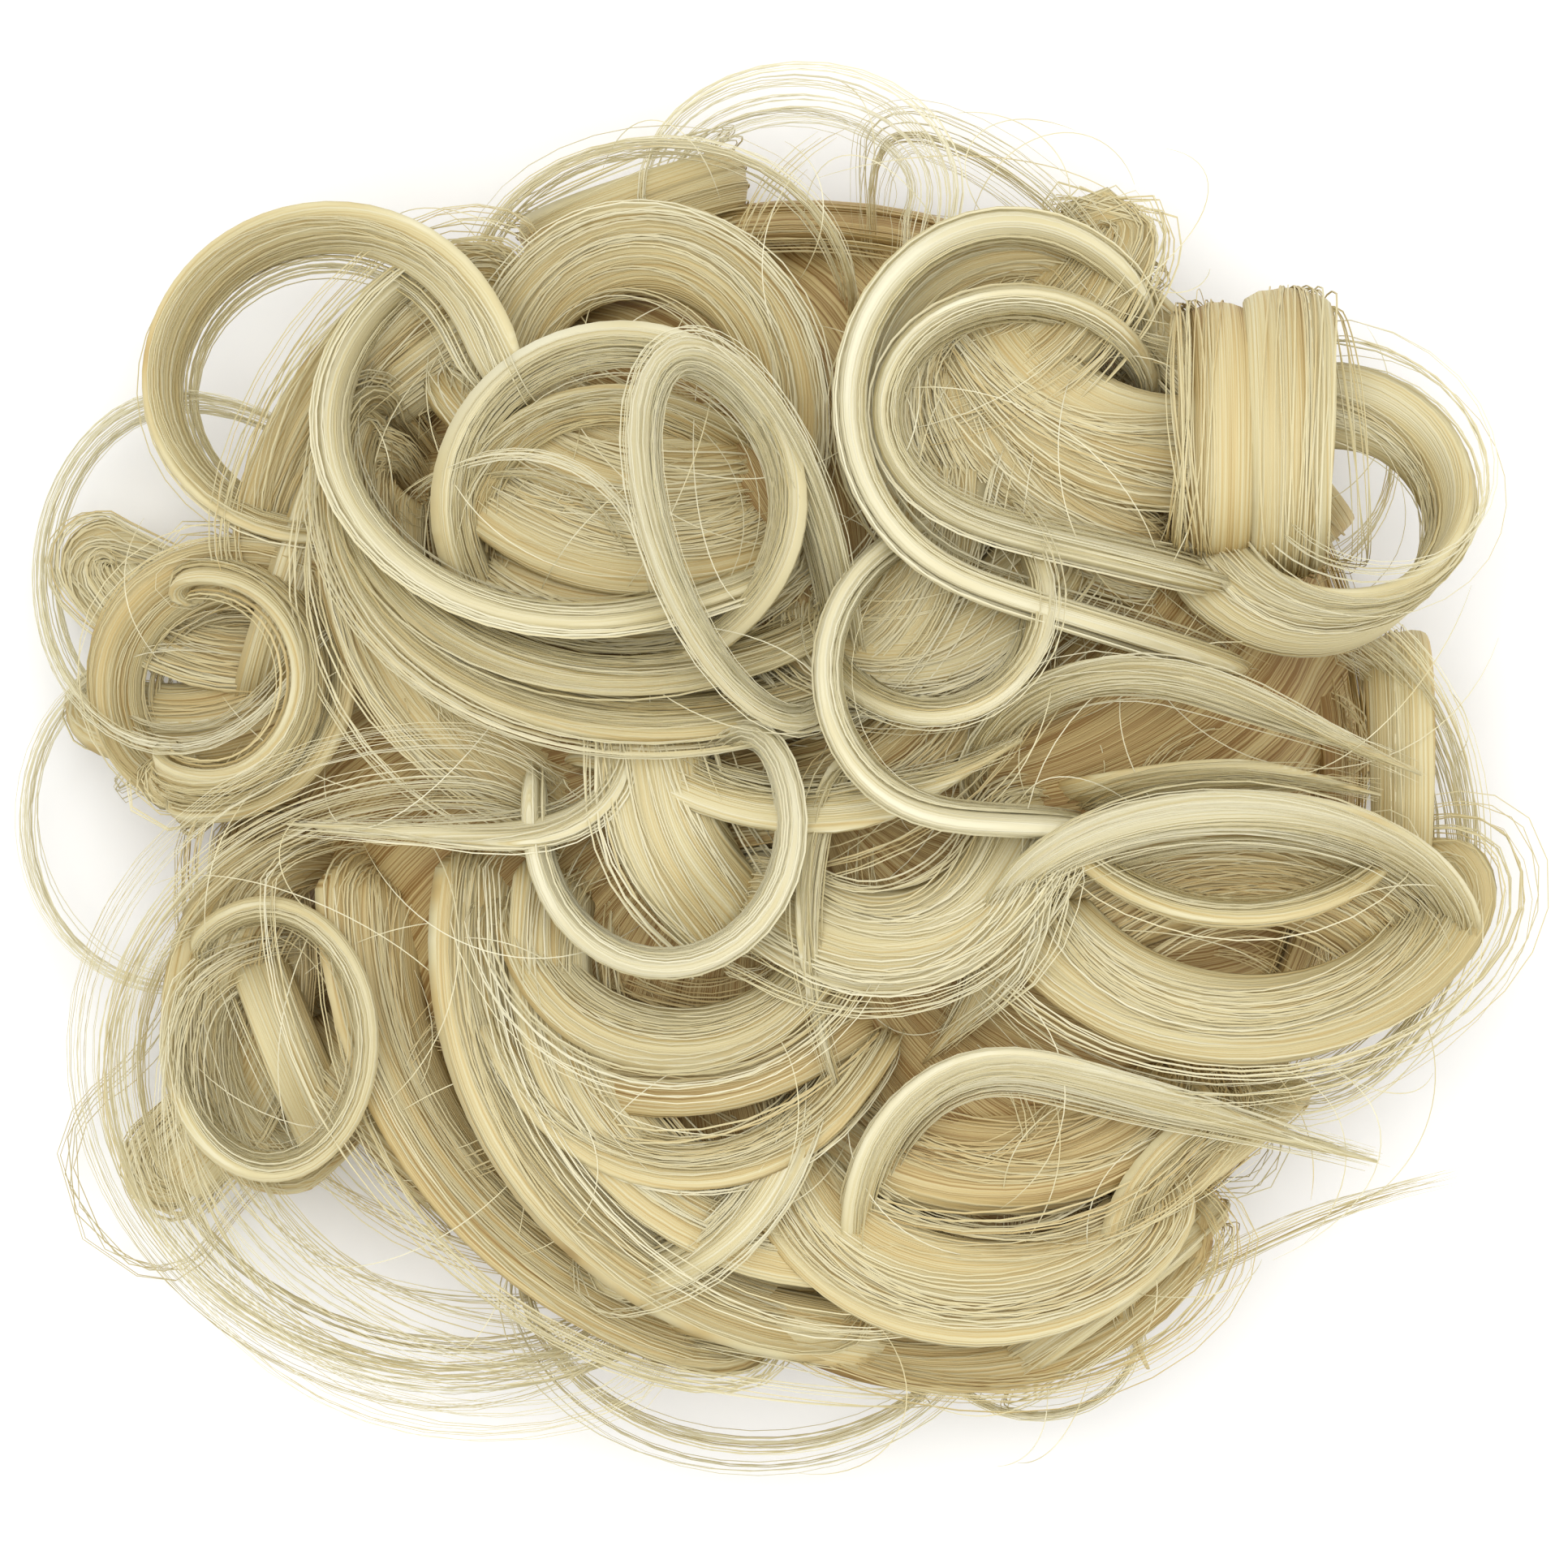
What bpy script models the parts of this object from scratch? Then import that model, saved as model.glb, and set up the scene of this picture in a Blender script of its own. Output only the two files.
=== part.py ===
"""Curly top knot hairpiece: a bun of curled locks on an elastic band.

Frame: metres, +Z up, as it lies on a table with the band underneath. The origin is on the table,
under the middle of the whole piece. The photograph looks straight down, with +Y up in the picture.
"""
import math
from collections import namedtuple

import bmesh
import bpy
from mathutils import Vector

# Driving sizes of the bun
BUN_RADIUS = 0.080        # from the bun's axis to the outline of its main curls
BUN_HEIGHT = 0.062        # from the table to the tops of the highest curls
CURL_OVERHANG = 0.016     # how far the curls stand out past the packed hair
CURL_DEPTH = 0.021        # how far the curls stand above the packed hair

# One lock of curled hair
LOCK_WIDTH = 0.0130       # across the flat of the widest common lock
LOCK_THICKNESS = 0.0034   # through the flat of a lock
RING_STEP = 0.0060        # along a lock, from one section to the next

# The elastic band and the hollow over it
BAND_RADIUS = 0.0260      # to the middle of the band's section
BAND_WIDTH = 0.0070
BAND_HEIGHT = 0.0060
HOLLOW_HEIGHT = 0.0260    # room for the wearer's own bun
CLEARANCE = 0.0003        # between the band and the hair
FLOOR_GAP = 0.0006        # lowest hair above the table
BAND_STEPS = 32           # sides of the band's circle

# The dome that the curls ride on, as shares: how far past the outline it reaches the table, how high the
# packed hair comes below it, and how far out and how high in the packed hair a lock grows from it
DOME_REACH = 1.3
MASS_SHARE = 0.94
ROOT_OUT = 0.80
ROOT_UP = 0.60
LINK_BEND = 0.45          # share of a link's span that it runs on past the lock's end before it turns
HAIR_STEPS = 28           # sides of the packed hair's circle

# The locks are fused to the packed hair on a grid of this grain, then thinned out to so many triangles
FUSE_GRAIN = 0.0011
HAIR_TRIANGLES = 10600
PINCH_ROUNDS = 8

# Curls round the lower side, which the photograph looks past
SIDE_CURLS = 11
WRAP_LOCKS = 7
FOOT_LOCKS = 16

# Where each lock runs. Places and half lengths are shares of BUN_RADIUS from the bun's axis, rises and
# thicknesses of widths are shares of BUN_HEIGHT above the dome and of LOCK_WIDTH. Angles are degrees,
# counter-clockwise from +X. A lock follows an ellipse with its middle at x, y and half lengths half_x
# and half_y, turned by lean, from angle start to angle end, then runs straight for tail. flat is 0 for
# a lock on its edge and 90 for a lock that lies flat, and below 0 its upper edge leans into its ring.
# tip says if its end goes back in or hangs free.
# dome is 0 where the rises are from the table and not from the dome, and upright stands the ring on edge.
# The nests are locks laid round and round that line the insides of the rings.
Lock = namedtuple("Lock", "name x y half_x half_y lean start end tail rise_0 rise_mid rise_1 "
                          "width flat_0 flat_1 tip dome upright", defaults=(1, False))
LOCKS = [Lock(*row) for row in (
    ("ring_upper_left", -0.70, 0.56, 0.245, 0.225, 0, -70, -345, 0, -0.10, 0.02, 0.14, 1.0, 8, 50, "in"),
    ("sheet_upper_left", -0.20, 0.20, 0.60, 0.60, 0, 168, 122, 0, -0.10, -0.06, -0.04, 1.2, 60, 70, "in"),
    ("long_u", -0.33, 0.50, 0.36, 0.29, 0, 135, 292, 0.12, -0.02, 0.12, 0.02, 0.9, 10, 12, "in"),
    ("middle_u", -0.27, 0.45, 0.40, 0.32, 0, 175, 292, 0.10, -0.04, 0.07, 0.00, 0.8, 35, 35, "in"),
    ("lower_u", -0.22, 0.42, 0.45, 0.35, 0, 165, 290, 0.12, -0.06, 0.05, -0.02, 1.0, 35, 40, "in"),
    ("left_sheet", -0.20, 0.36, 0.44, 0.43, 0, 172, 250, 0, -0.08, -0.03, -0.05, 1.5, 75, 75, "in"),
    ("ring_centre", -0.27, 0.38, 0.245, 0.235, 0, 215, -60, 0, -0.06, 0.14, 0.02, 1.0, 42, 15, "in"),
    ("ring_centre_inner", -0.28, 0.33, 0.22, 0.20, 0, 190, 50, 0, -0.06, 0.03, -0.04, 0.8, 50, 40, "in"),
    ("thin_centre", -0.42, 0.28, 0.18, 0.17, 0, 125, 5, 0, 0.00, 0.10, 0.00, 0.5, 15, 15, "in"),
    ("nest_centre", -0.27, 0.36, 0.10, 0.10, 0, 90, 430, 0, -0.03, -0.03, -0.03, 1.3, 75, 75, "in"),
    ("teardrop", -0.10, 0.33, 0.120, 0.280, 19, 282, -35, 0, 0.06, 0.25, 0.00, 0.9, 8, 28, "in"),
    ("top_sheet", -0.24, 0.52, 0.21, 0.235, 0, 185, -20, 0, -0.10, 0.02, -0.05, 1.3, 70, 60, "in"),
    ("thin_top_arch", -0.22, 0.68, 0.275, 0.225, 0, 170, 10, 0, -0.14, -0.02, -0.10, 0.6, 20, 20, "in"),
    ("top_loop", -0.02, 0.83, 0.22, 0.165, 0, 200, -25, 0, -0.12, -0.03, -0.08, 0.8, 22, 30, "in"),
    ("top_right_strands", 0.00, 0.46, 0.50, 0.50, 0, 72, 22, 0, -0.14, -0.08, -0.10, 0.6, 25, 25, "in"),
    ("double_ring_outer", 0.29, 0.52, 0.240, 0.265, 0, 35, 255, 0.36, -0.08, 0.17, 0.00, 0.9, 10, 12, "in"),
    ("double_ring_inner", 0.30, 0.51, 0.205, 0.170, 0, 25, 255, 0.30, -0.08, 0.12, 0.02, 0.8, 12, 20, "in"),
    ("double_ring_sheet", 0.31, 0.52, 0.21, 0.21, 0, 70, 235, 0, -0.10, 0.00, -0.06, 1.3, 70, 70, "in"),
    ("nest_double", 0.33, 0.50, 0.11, 0.11, 0, 90, 430, 0, -0.05, -0.05, -0.05, 1.4, 75, 75, "in"),
    ("crescent_right", 0.73, 0.37, 0.195, 0.165, 0, 200, 450, 0, -0.06, 0.08, 0.00, 1.3, -95, 88, "in"),
    ("small_ring_tail", 0.20, 0.14, 0.19, 0.21, 0, 105, 268, 0.14, 0.00, 0.25, 0.10, 0.8, 8, 8, "in"),
    ("small_ring", 0.17, 0.235, 0.165, 0.165, 0, 220, 400, 0, 0.04, 0.16, -0.04, 0.9, 12, 12, "in"),
    ("nest_small", 0.17, 0.22, 0.08, 0.08, 0, 90, 430, 0, 0.00, 0.00, 0.00, 1.0, 75, 75, "in"),
    ("wave_right", 0.45, -0.01, 0.22, 0.155, 0, 172, 60, 0.28, -0.04, 0.15, 0.00, 0.9, 28, 30, "in"),
    ("straight_right", 0.60, -0.70, 0.70, 0.70, 0, 106, 74, 0, 0.00, 0.05, -0.04, 0.6, 40, 40, "in"),
    ("eye_upper", 0.60, -0.25, 0.345, 0.195, 0, 165, 8, 0, 0.00, 0.14, -0.04, 1.0, 28, 30, "in"),
    ("eye_lower", 0.61, -0.05, 0.25, 0.16, 0, 210, 330, 0, 0.04, 0.08, 0.00, 0.6, 20, 20, "in"),
    ("eye_floor", 0.60, -0.50, 0.35, 0.36, 0, 130, 50, 0, -0.06, -0.06, -0.08, 1.3, 85, 85, "in"),
    ("sheet_right", 0.62, -0.12, 0.32, 0.24, 0, 205, 338, 0, 0.00, 0.04, -0.04, 1.4, 72, 65, "in"),
    ("outer_right", 0.68, -0.12, 0.285, 0.355, 0, 55, -80, 0, -0.10, -0.08, -0.12, 0.9, 30, 35, "in"),
    ("arch_lower_right", 0.27, -0.66, 0.21, 0.25, 0, 198, 76, 0.52, -0.10, 0.10, -0.08, 0.9, 22, 35, "free"),
    ("arch_floor", 0.27, -0.42, 0.25, 0.14, 0, 185, 345, 0, -0.08, -0.08, -0.10, 1.5, 80, 80, "in"),
    ("cup_lower_right", 0.25, -0.53, 0.29, 0.22, 0, 190, 325, 0, -0.02, 0.00, -0.06, 1.5, 75, 75, "in"),
    ("skirt_lower_right", 0.20, -0.52, 0.38, 0.31, 0, 200, 325, 0, -0.16, -0.14, -0.16, 1.5, 60, 60, "in"),
    ("band_lower_right", 0.63, -0.72, 0.19, 0.22, 0, 108, 222, 0, -0.06, -0.08, -0.12, 1.1, 40, 45, "in"),
    ("wisp_right", 1.15, -1.768, 1.20, 1.20, 20, 102, 80, 0, -0.14, -0.12, -0.06, 0.35, 20, 20, "free"),
    ("wisp_bottom", 0.33, -0.84, 0.16, 0.12, 0, 215, 350, 0, -0.20, -0.16, -0.16, 0.35, 20, 20, "in"),
    ("bottom_loop", -0.08, -0.70, 0.36, 0.30, 0, 195, 335, 0, -0.16, -0.16, -0.18, 0.6, 30, 30, "in"),
    ("fan_inner", 0.05, -0.25, 0.43, 0.43, 0, 170, 282, 0, 0.00, 0.02, -0.06, 1.3, 68, 70, "in"),
    ("fan_middle", 0.10, -0.25, 0.58, 0.55, 0, 170, 262, 0, -0.04, 0.00, -0.10, 1.4, 68, 60, "in"),
    ("fan_outer", 0.00, -0.20, 0.64, 0.63, 0, 178, 258, 0, -0.08, -0.08, -0.14, 1.4, 65, 55, "in"),
    ("swirl_upper", -0.19, -0.20, 0.22, 0.19, 0, 190, 345, 0, 0.00, 0.05, 0.02, 1.0, 50, 50, "in"),
    ("swirl_lower", -0.17, -0.30, 0.27, 0.27, 0, 200, 335, 0, 0.02, 0.04, 0.00, 0.9, 50, 50, "in"),
    ("light_band", -0.35, -0.45, 0.33, 0.29, 0, -12, -75, 0, 0.02, 0.06, -0.04, 0.8, 50, 55, "in"),
    ("ring_lower_left", -0.78, -0.385, 0.155, 0.20, 0, 130, -195, 0, -0.08, 0.02, -0.10, 0.7, 8, 12, "in"),
    ("nest_lower_left", -0.78, -0.37, 0.08, 0.12, 0, 90, 430, 0, -0.22, -0.22, -0.22, 1.1, 75, 75, "in"),
    ("sheet_lower_left", -0.42, -0.35, 0.46, 0.36, 0, 152, 210, 0, -0.10, -0.14, -0.20, 1.3, 75, 70, "in"),
    ("outer_lower_left", -0.52, -0.45, 0.46, 0.39, 0, 80, 290, 0, 0.00, -0.12, -0.18, 1.1, 50, 30, "in"),
    ("left_band", -0.40, -0.02, 0.12, 0.075, 0, -10, -95, 0.34, 0.10, 0.10, 0.02, 0.6, 25, 30, "in"),
    ("ring_left", -0.86, 0.13, 0.155, 0.165, 0, 100, -115, 0, -0.06, 0.00, -0.06, 1.1, -18, -28, "in"),
    ("nest_left", -0.86, 0.14, 0.09, 0.09, 0, 90, 430, 0, -0.22, -0.24, -0.22, 1.3, 68, 68, "in"),
    ("ring_left_outer", -0.86, 0.14, 0.20, 0.20, 0, 45, -100, 0, -0.08, -0.04, -0.10, 0.8, 20, 20, "in"),
    ("ring_left_top", -0.82, 0.12, 0.20, 0.18, 0, 55, 200, 0, -0.08, -0.10, -0.14, 1.0, 60, 50, "in"),
    ("pale_loop_left", -0.92, 0.29, 0.205, 0.25, 0, 82, 335, 0, -0.16, -0.12, -0.06, 0.7, 12, 15, "in"),
    ("thin_loop_left", -0.95, -0.07, 0.20, 0.235, 0, 112, 250, 0, -0.18, -0.18, -0.18, 0.4, 15, 15, "in"),
    ("small_u", -0.21, -0.08, 0.19, 0.205, 0, 172, 378, 0, 0.06, 0.17, 0.14, 0.7, 8, 8, "in"),
    ("wide_in_small_u", 0.10, 0.00, 0.33, 0.28, 0, 175, 228, 0, 0.06, 0.09, 0.02, 1.5, 75, 75, "in"),
    ("plumb_strand", 0.60, -0.22, 0.61, 0.60, 0, 163, 202, 0, 0.08, 0.10, 0.02, 0.6, 30, 30, "in"),
    ("crescent_below_hub", 0.10, -0.05, 0.20, 0.20, 0, 225, 345, 0, 0.04, 0.07, 0.04, 1.4, 70, 70, "in"),
    ("ribs_below_knot", -0.05, -0.15, 0.34, 0.34, 0, 0, -52, 0, 0.04, 0.02, -0.04, 1.2, 60, 60, "in"),
    ("hub_strands", 0.00, 0.30, 0.40, 0.36, 0, 235, 302, 0.10, 0.04, 0.10, 0.06, 0.8, 45, 45, "in"),
    ("standing_curl", 0.68, 0.49, 0.20, 0.18, 90, 205, -75, 0, -0.08, -0.06, -0.08, 1.15, 0, 0, "free",
     1, True),
    ("standing_curl_back", 0.59, 0.49, 0.18, 0.15, 90, 205, -75, 0, -0.08, -0.06, -0.08, 1.0, 0, 0, "free",
     1, True),
)]


def dome_height(radius):
    """Height of the dome that the curls ride on, falling from the middle to past the outline."""
    share = min(radius / (DOME_REACH * BUN_RADIUS), 1.0)
    return (BUN_HEIGHT - CURL_DEPTH) * (1.0 - share ** 3) ** 0.6


def mass_radius():
    """Outer radius of the packed hair that backs the curls."""
    return BUN_RADIUS - CURL_OVERHANG


def mass_height(share):
    """Height of the packed hair at a share of its outer radius."""
    return (BUN_HEIGHT - CURL_DEPTH) * MASS_SHARE * (1.0 - share ** 4) ** 0.5


def rooted(point):
    """Place inside the packed hair that a lock whose end is at this point grows out of."""
    reach = math.hypot(point.x, point.y)
    inner = BAND_RADIUS + BAND_WIDTH
    radius = min(max(reach, inner), ROOT_OUT * mass_radius())
    scale = radius / max(reach, 1e-6)
    height = ROOT_UP * mass_height(radius / mass_radius())
    return Vector((point.x * scale, point.y * scale, height))


def link(outside, away, count=3):
    """Points of a quadratic curve from the packed hair to a lock's end, meeting it along its run."""
    root = rooted(outside)
    bend = outside + away * (LINK_BEND * (outside - root).length)
    points = []
    for index in range(count):
        t = index / count
        points.append(root * (1 - t) ** 2 + bend * (2 * t * (1 - t)) + outside * t ** 2)
    return points


def lock_path(lock):
    """Points along a lock, how far it lies over at each of them, and the normal of its ring."""
    lean = math.radians(lock.lean)
    along = Vector((math.cos(lean), math.sin(lean), 0.0))
    across = Vector((-math.sin(lean), math.cos(lean), 0.0))
    if lock.upright:
        across = Vector((0.0, 0.0, 1.0))
    normal = along.cross(across)
    middle = Vector((lock.x, lock.y, 0.0)) * BUN_RADIUS
    sweep = math.radians(lock.end - lock.start)
    length = abs(sweep) * (lock.half_x + lock.half_y) / 2 * BUN_RADIUS + lock.tail * BUN_RADIUS
    count = max(5, round(length / RING_STEP))
    arc_share = 1.0 - lock.tail * BUN_RADIUS / length
    flat_points = []
    for index in range(count + 1):
        t = index / count
        angle = math.radians(lock.start) + sweep * min(t / arc_share, 1.0)
        point = (middle + along * (lock.half_x * BUN_RADIUS * math.cos(angle))
                 + across * (lock.half_y * BUN_RADIUS * math.sin(angle)))
        if t > arc_share:
            run = (across * (lock.half_y * math.cos(angle)) - along * (lock.half_x * math.sin(angle)))
            run = run.normalized() * math.copysign(1.0, sweep)
            point += run * ((t - arc_share) * length)
        flat_points.append(point)
    arc = []
    flats = []
    for index, point in enumerate(flat_points):
        t = index / count
        rise = (lock.rise_0 * (1 - t) * (1 - 2 * t) + 4 * lock.rise_mid * t * (1 - t)
                + lock.rise_1 * t * (2 * t - 1))
        flat = math.radians(lock.flat_0 + (lock.flat_1 - lock.flat_0) * t)
        tall = LOCK_WIDTH * lock.width * (math.sin(flat) if lock.upright else math.cos(flat))
        lowest = FLOOR_GAP + tall / 2 + LOCK_THICKNESS / 2
        dome = lock.dome * dome_height(math.hypot(point.x, point.y))
        height = dome + rise * BUN_HEIGHT + point.z
        arc.append(Vector((point.x, point.y, max(height, lowest))))
        flats.append(flat)
    before = link(arc[0], (arc[0] - arc[1]).normalized())
    after = []
    if lock.tip == "in":
        after = link(arc[-1], (arc[-1] - arc[-2]).normalized())
    flats = [flats[0]] * len(before) + flats + [flats[-1]] * len(after)
    return before + arc + after[::-1], flats, normal


def loft_lock(lock, collection):
    """Closed ribbon of lens-shaped sections along a lock's path, tapered at a free tip."""
    points, flats, normal = lock_path(lock)
    last = len(points) - 1
    corners = 6 if lock.width > 0.75 else 4
    mesh = bmesh.new()
    rings = []
    for index, (point, flat) in enumerate(zip(points, flats)):
        t = index / last
        run = (points[min(index + 1, last)] - points[max(index - 1, 0)]).normalized()
        outward = run.cross(normal).normalized()
        upward = outward.cross(run)
        outward *= math.copysign(1.0, lock.end - lock.start)
        wide = upward * math.cos(flat) + outward * math.sin(flat)
        thin = run.cross(wide).normalized()
        taper = 1.0
        if lock.tip == "free":
            taper = min(1.0, 0.25 + 2.2 * (1.0 - t))
        half_width = LOCK_WIDTH * lock.width / 2 * taper
        half_thickness = LOCK_THICKNESS * min(1.0, 0.45 + 0.55 * lock.width) / 2 * taper
        ring = []
        for corner in range(corners):
            angle = 2 * math.pi * corner / corners
            ring.append(mesh.verts.new(point + wide * (half_width * math.cos(angle))
                                       + thin * (half_thickness * math.sin(angle) * 1.15)))
        rings.append(ring)
    for lower, upper in zip(rings, rings[1:]):
        for corner in range(corners):
            following = (corner + 1) % corners
            mesh.faces.new((lower[corner], lower[following], upper[following], upper[corner]))
    mesh.faces.new(reversed(rings[0]))
    mesh.faces.new(rings[-1])
    bmesh.ops.recalc_face_normals(mesh, faces=mesh.faces)
    return add_mesh_object("lock_" + lock.name, mesh, collection)


def add_mesh_object(name, mesh, collection):
    """New object in a collection from a bmesh, which is freed."""
    data = bpy.data.meshes.new(name)
    mesh.to_mesh(data)
    mesh.free()
    added = bpy.data.objects.new(name, data)
    collection.objects.link(added)
    return added


def turned(name, profile, collection, steps):
    """Closed solid turned round Z from a closed profile of (radius, height) points."""
    mesh = bmesh.new()
    corners = [mesh.verts.new((radius, 0.0, height)) for radius, height in profile]
    for first, second in zip(corners, corners[1:] + corners[:1]):
        mesh.edges.new((first, second))
    added = add_mesh_object(name, mesh, collection)
    screw = added.modifiers.new("turn", "SCREW")
    screw.steps = steps
    screw.render_steps = steps
    screw.use_merge_vertices = True
    screw.merge_threshold = 0.00001
    return added


def side_curls():
    """Upright rings round the lower side, a little further round and larger or smaller each time."""
    curls = []
    for index in range(SIDE_CURLS):
        bearing = 360.0 * (index + 0.35 * math.sin(2.4 * index)) / SIDE_CURLS
        size = 0.17 + 0.03 * math.sin(1.7 * index)
        away = 0.81 + 0.04 * math.cos(2.1 * index)
        facing = bearing + 90.0 + 22.0 * math.sin(3.1 * index)
        curls.append(Lock("side_curl_%02d" % (index + 1), away * math.cos(math.radians(bearing)),
                          away * math.sin(math.radians(bearing)), size * 1.15, size, facing, 215, -70, 0,
                          0.24, 0.26, 0.24, 0.9, 10, 20, "in", 0, True))
    return curls


def wrap_locks():
    """Locks that lie round the foot of the packed hair, each a part of a turn, above one another."""
    wraps = []
    for index in range(WRAP_LOCKS):
        start = 360.0 * index / WRAP_LOCKS + 17.0 * math.sin(2.0 * index)
        away = 0.79 + 0.04 * math.sin(2.7 * index)
        middle = 0.22 + 0.09 * math.sin(1.3 * index)
        wraps.append(Lock("wrap_%02d" % (index + 1), 0.0, 0.0, away, away, 0, start, start + 78.0, 0,
                          0.10, middle, 0.16, 1.1, -25, -25, "in", 0))
    return wraps


def foot_locks():
    """Locks that sweep out from round the band and turn up over the rim, as seen from below."""
    feet = []
    for index in range(FOOT_LOCKS):
        bearing = 360.0 * index / FOOT_LOCKS
        reach = 0.18 + 0.02 * math.sin(2.3 * index)
        away = 0.42 + reach
        feet.append(Lock("foot_%02d" % (index + 1), away * math.cos(math.radians(bearing)),
                         away * math.sin(math.radians(bearing)), reach, 0.6 * reach, bearing, 180, 15, 0,
                         0.06, 0.08 + 0.02 * math.cos(1.9 * index), 0.22, 1.2, 75, 30, "in", 0))
    return feet


def packed_hair(collection):
    """Backing of packed hair: a dome whose underside rises a little to its rim, still without hollow."""
    top = BUN_HEIGHT - CURL_DEPTH
    outer = mass_radius()
    profile = [(outer * share, mass_height(share)) for share in (0.0, 0.30, 0.52, 0.70, 0.84, 0.94)]
    profile.append((outer, top * 0.36))
    profile.append((outer * 0.97, top * 0.20))
    profile.append((outer * 0.80, top * 0.10))
    profile.append((BAND_RADIUS + BAND_WIDTH, top * 0.05))
    profile.append((0.0, top * 0.05))
    return turned("hair_locks", profile, collection, HAIR_STEPS)


def band_seat(collection):
    """Cutter for the seat round the band and the hollow above it, open below."""
    seat_radius = BAND_RADIUS + BAND_WIDTH / 2 + CLEARANCE
    seat_height = BAND_HEIGHT + CLEARANCE
    hollow_radius = BAND_RADIUS - BAND_WIDTH / 2
    rounding = 0.35 * hollow_radius
    profile = [(0.0, HOLLOW_HEIGHT), (hollow_radius - rounding, HOLLOW_HEIGHT),
               (hollow_radius, HOLLOW_HEIGHT - rounding), (hollow_radius, seat_height),
               (seat_radius, seat_height), (seat_radius, -BAND_HEIGHT), (0.0, -BAND_HEIGHT)]
    return turned("band_seat", profile, collection, BAND_STEPS)


def elastic_band(collection):
    """Covered elastic loop with a flat underside, rounded at its corners."""
    inner = BAND_RADIUS - BAND_WIDTH / 2
    outer = BAND_RADIUS + BAND_WIDTH / 2
    corner = 0.3 * min(BAND_WIDTH, BAND_HEIGHT)
    profile = [(outer, BAND_HEIGHT - corner), (outer, corner), (outer - corner, 0.0),
               (inner + corner, 0.0), (inner, corner), (inner, BAND_HEIGHT - corner),
               (inner + corner, BAND_HEIGHT), (outer - corner, BAND_HEIGHT)]
    return turned("elastic_band", profile, collection, BAND_STEPS)


def as_mesh(made):
    """Replaces an object's mesh with the one that its modifiers give."""
    evaluated = made.evaluated_get(bpy.context.evaluated_depsgraph_get())
    made.data = bpy.data.meshes.new_from_object(evaluated)
    made.modifiers.clear()


def take_in(backing, locks):
    """Moves the locks' meshes into the backing's, as overlapping shells."""
    mesh = bmesh.new()
    mesh.from_mesh(backing.data)
    for lock in list(locks):
        mesh.from_mesh(lock.data)
        bpy.data.objects.remove(lock)
    mesh.to_mesh(backing.data)
    mesh.free()


def shells_of(mesh):
    """Lists of the vertices that hang together."""
    shells = []
    unseen = set(mesh.verts)
    while unseen:
        shell = [unseen.pop()]
        for vertex in shell:
            for edge in vertex.link_edges:
                other = edge.other_vert(vertex)
                if other in unseen:
                    unseen.remove(other)
                    shell.append(other)
        shells.append(shell)
    return shells


def tidy_fused(data):
    """One clean body: pinches that thinning out left are cut away and closed, and specks are dropped."""
    mesh = bmesh.new()
    mesh.from_mesh(data)
    bmesh.ops.dissolve_degenerate(mesh, dist=FUSE_GRAIN / 50, edges=mesh.edges)
    bmesh.ops.triangulate(mesh, faces=mesh.faces)
    for _ in range(PINCH_ROUNDS):
        pinched = [vertex for vertex in mesh.verts if not vertex.is_manifold or vertex.is_boundary]
        if not pinched:
            break
        bmesh.ops.delete(mesh, geom=pinched, context="VERTS")
        rims = [edge for edge in mesh.edges if edge.is_boundary]
        filled = bmesh.ops.holes_fill(mesh, edges=rims, sides=0)["faces"]
        bmesh.ops.triangulate(mesh, faces=filled)
    shells = shells_of(mesh)
    body = max(shells, key=len)
    specks = [vertex for shell in shells if shell is not body for vertex in shell]
    bmesh.ops.delete(mesh, geom=specks, context="VERTS")
    bmesh.ops.recalc_face_normals(mesh, faces=mesh.faces)
    mesh.to_mesh(data)
    mesh.free()


def material(name, colour, roughness):
    """Principled material of one colour."""
    made = bpy.data.materials.new(name)
    made.use_nodes = True
    shader = made.node_tree.nodes["Principled BSDF"]
    shader.inputs["Base Color"].default_value = (*colour, 1.0)
    shader.inputs["Roughness"].default_value = roughness
    shader.inputs["Metallic"].default_value = 0.0
    return made


for existing in list(bpy.data.objects):
    bpy.data.objects.remove(existing)

part = bpy.data.collections.new("top_knot_hairpiece")
locks = bpy.data.collections.new("locks")
bpy.context.scene.collection.children.link(part)
bpy.context.scene.collection.children.link(locks)

hair = packed_hair(part)
band = elastic_band(part)
for lock in LOCKS + side_curls() + wrap_locks() + foot_locks():
    loft_lock(lock, locks)
seat = band_seat(locks)
seat.hide_render = True
seat.display_type = "WIRE"

as_mesh(hair)
take_in(hair, [lock for lock in locks.objects if lock is not seat])
fuse = hair.modifiers.new("fuse", "REMESH")
fuse.mode = "VOXEL"
fuse.voxel_size = FUSE_GRAIN
as_mesh(hair)
thin_out = hair.modifiers.new("thin_out", "DECIMATE")
thin_out.ratio = HAIR_TRIANGLES / (2 * len(hair.data.polygons))
as_mesh(hair)
tidy_fused(hair.data)
seat_cut = hair.modifiers.new("seat_cut", "BOOLEAN")
seat_cut.operation = "DIFFERENCE"
seat_cut.solver = "EXACT"
seat_cut.object = seat
as_mesh(hair)

hair.data.materials.append(material("pale_blonde_fibre", (0.72, 0.62, 0.36), 0.45))
band.data.materials.append(material("band_fabric", (0.62, 0.52, 0.33), 0.80))

# The origin goes on the table under the middle of the whole piece
lows = [min(vertex.co[axis] for vertex in hair.data.vertices) for axis in (0, 1)]
highs = [max(vertex.co[axis] for vertex in hair.data.vertices) for axis in (0, 1)]
for piece in (hair, band):
    piece.location.x = -(lows[0] + highs[0]) / 2
    piece.location.y = -(lows[1] + highs[1]) / 2
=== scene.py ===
import math
from collections import namedtuple

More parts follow.
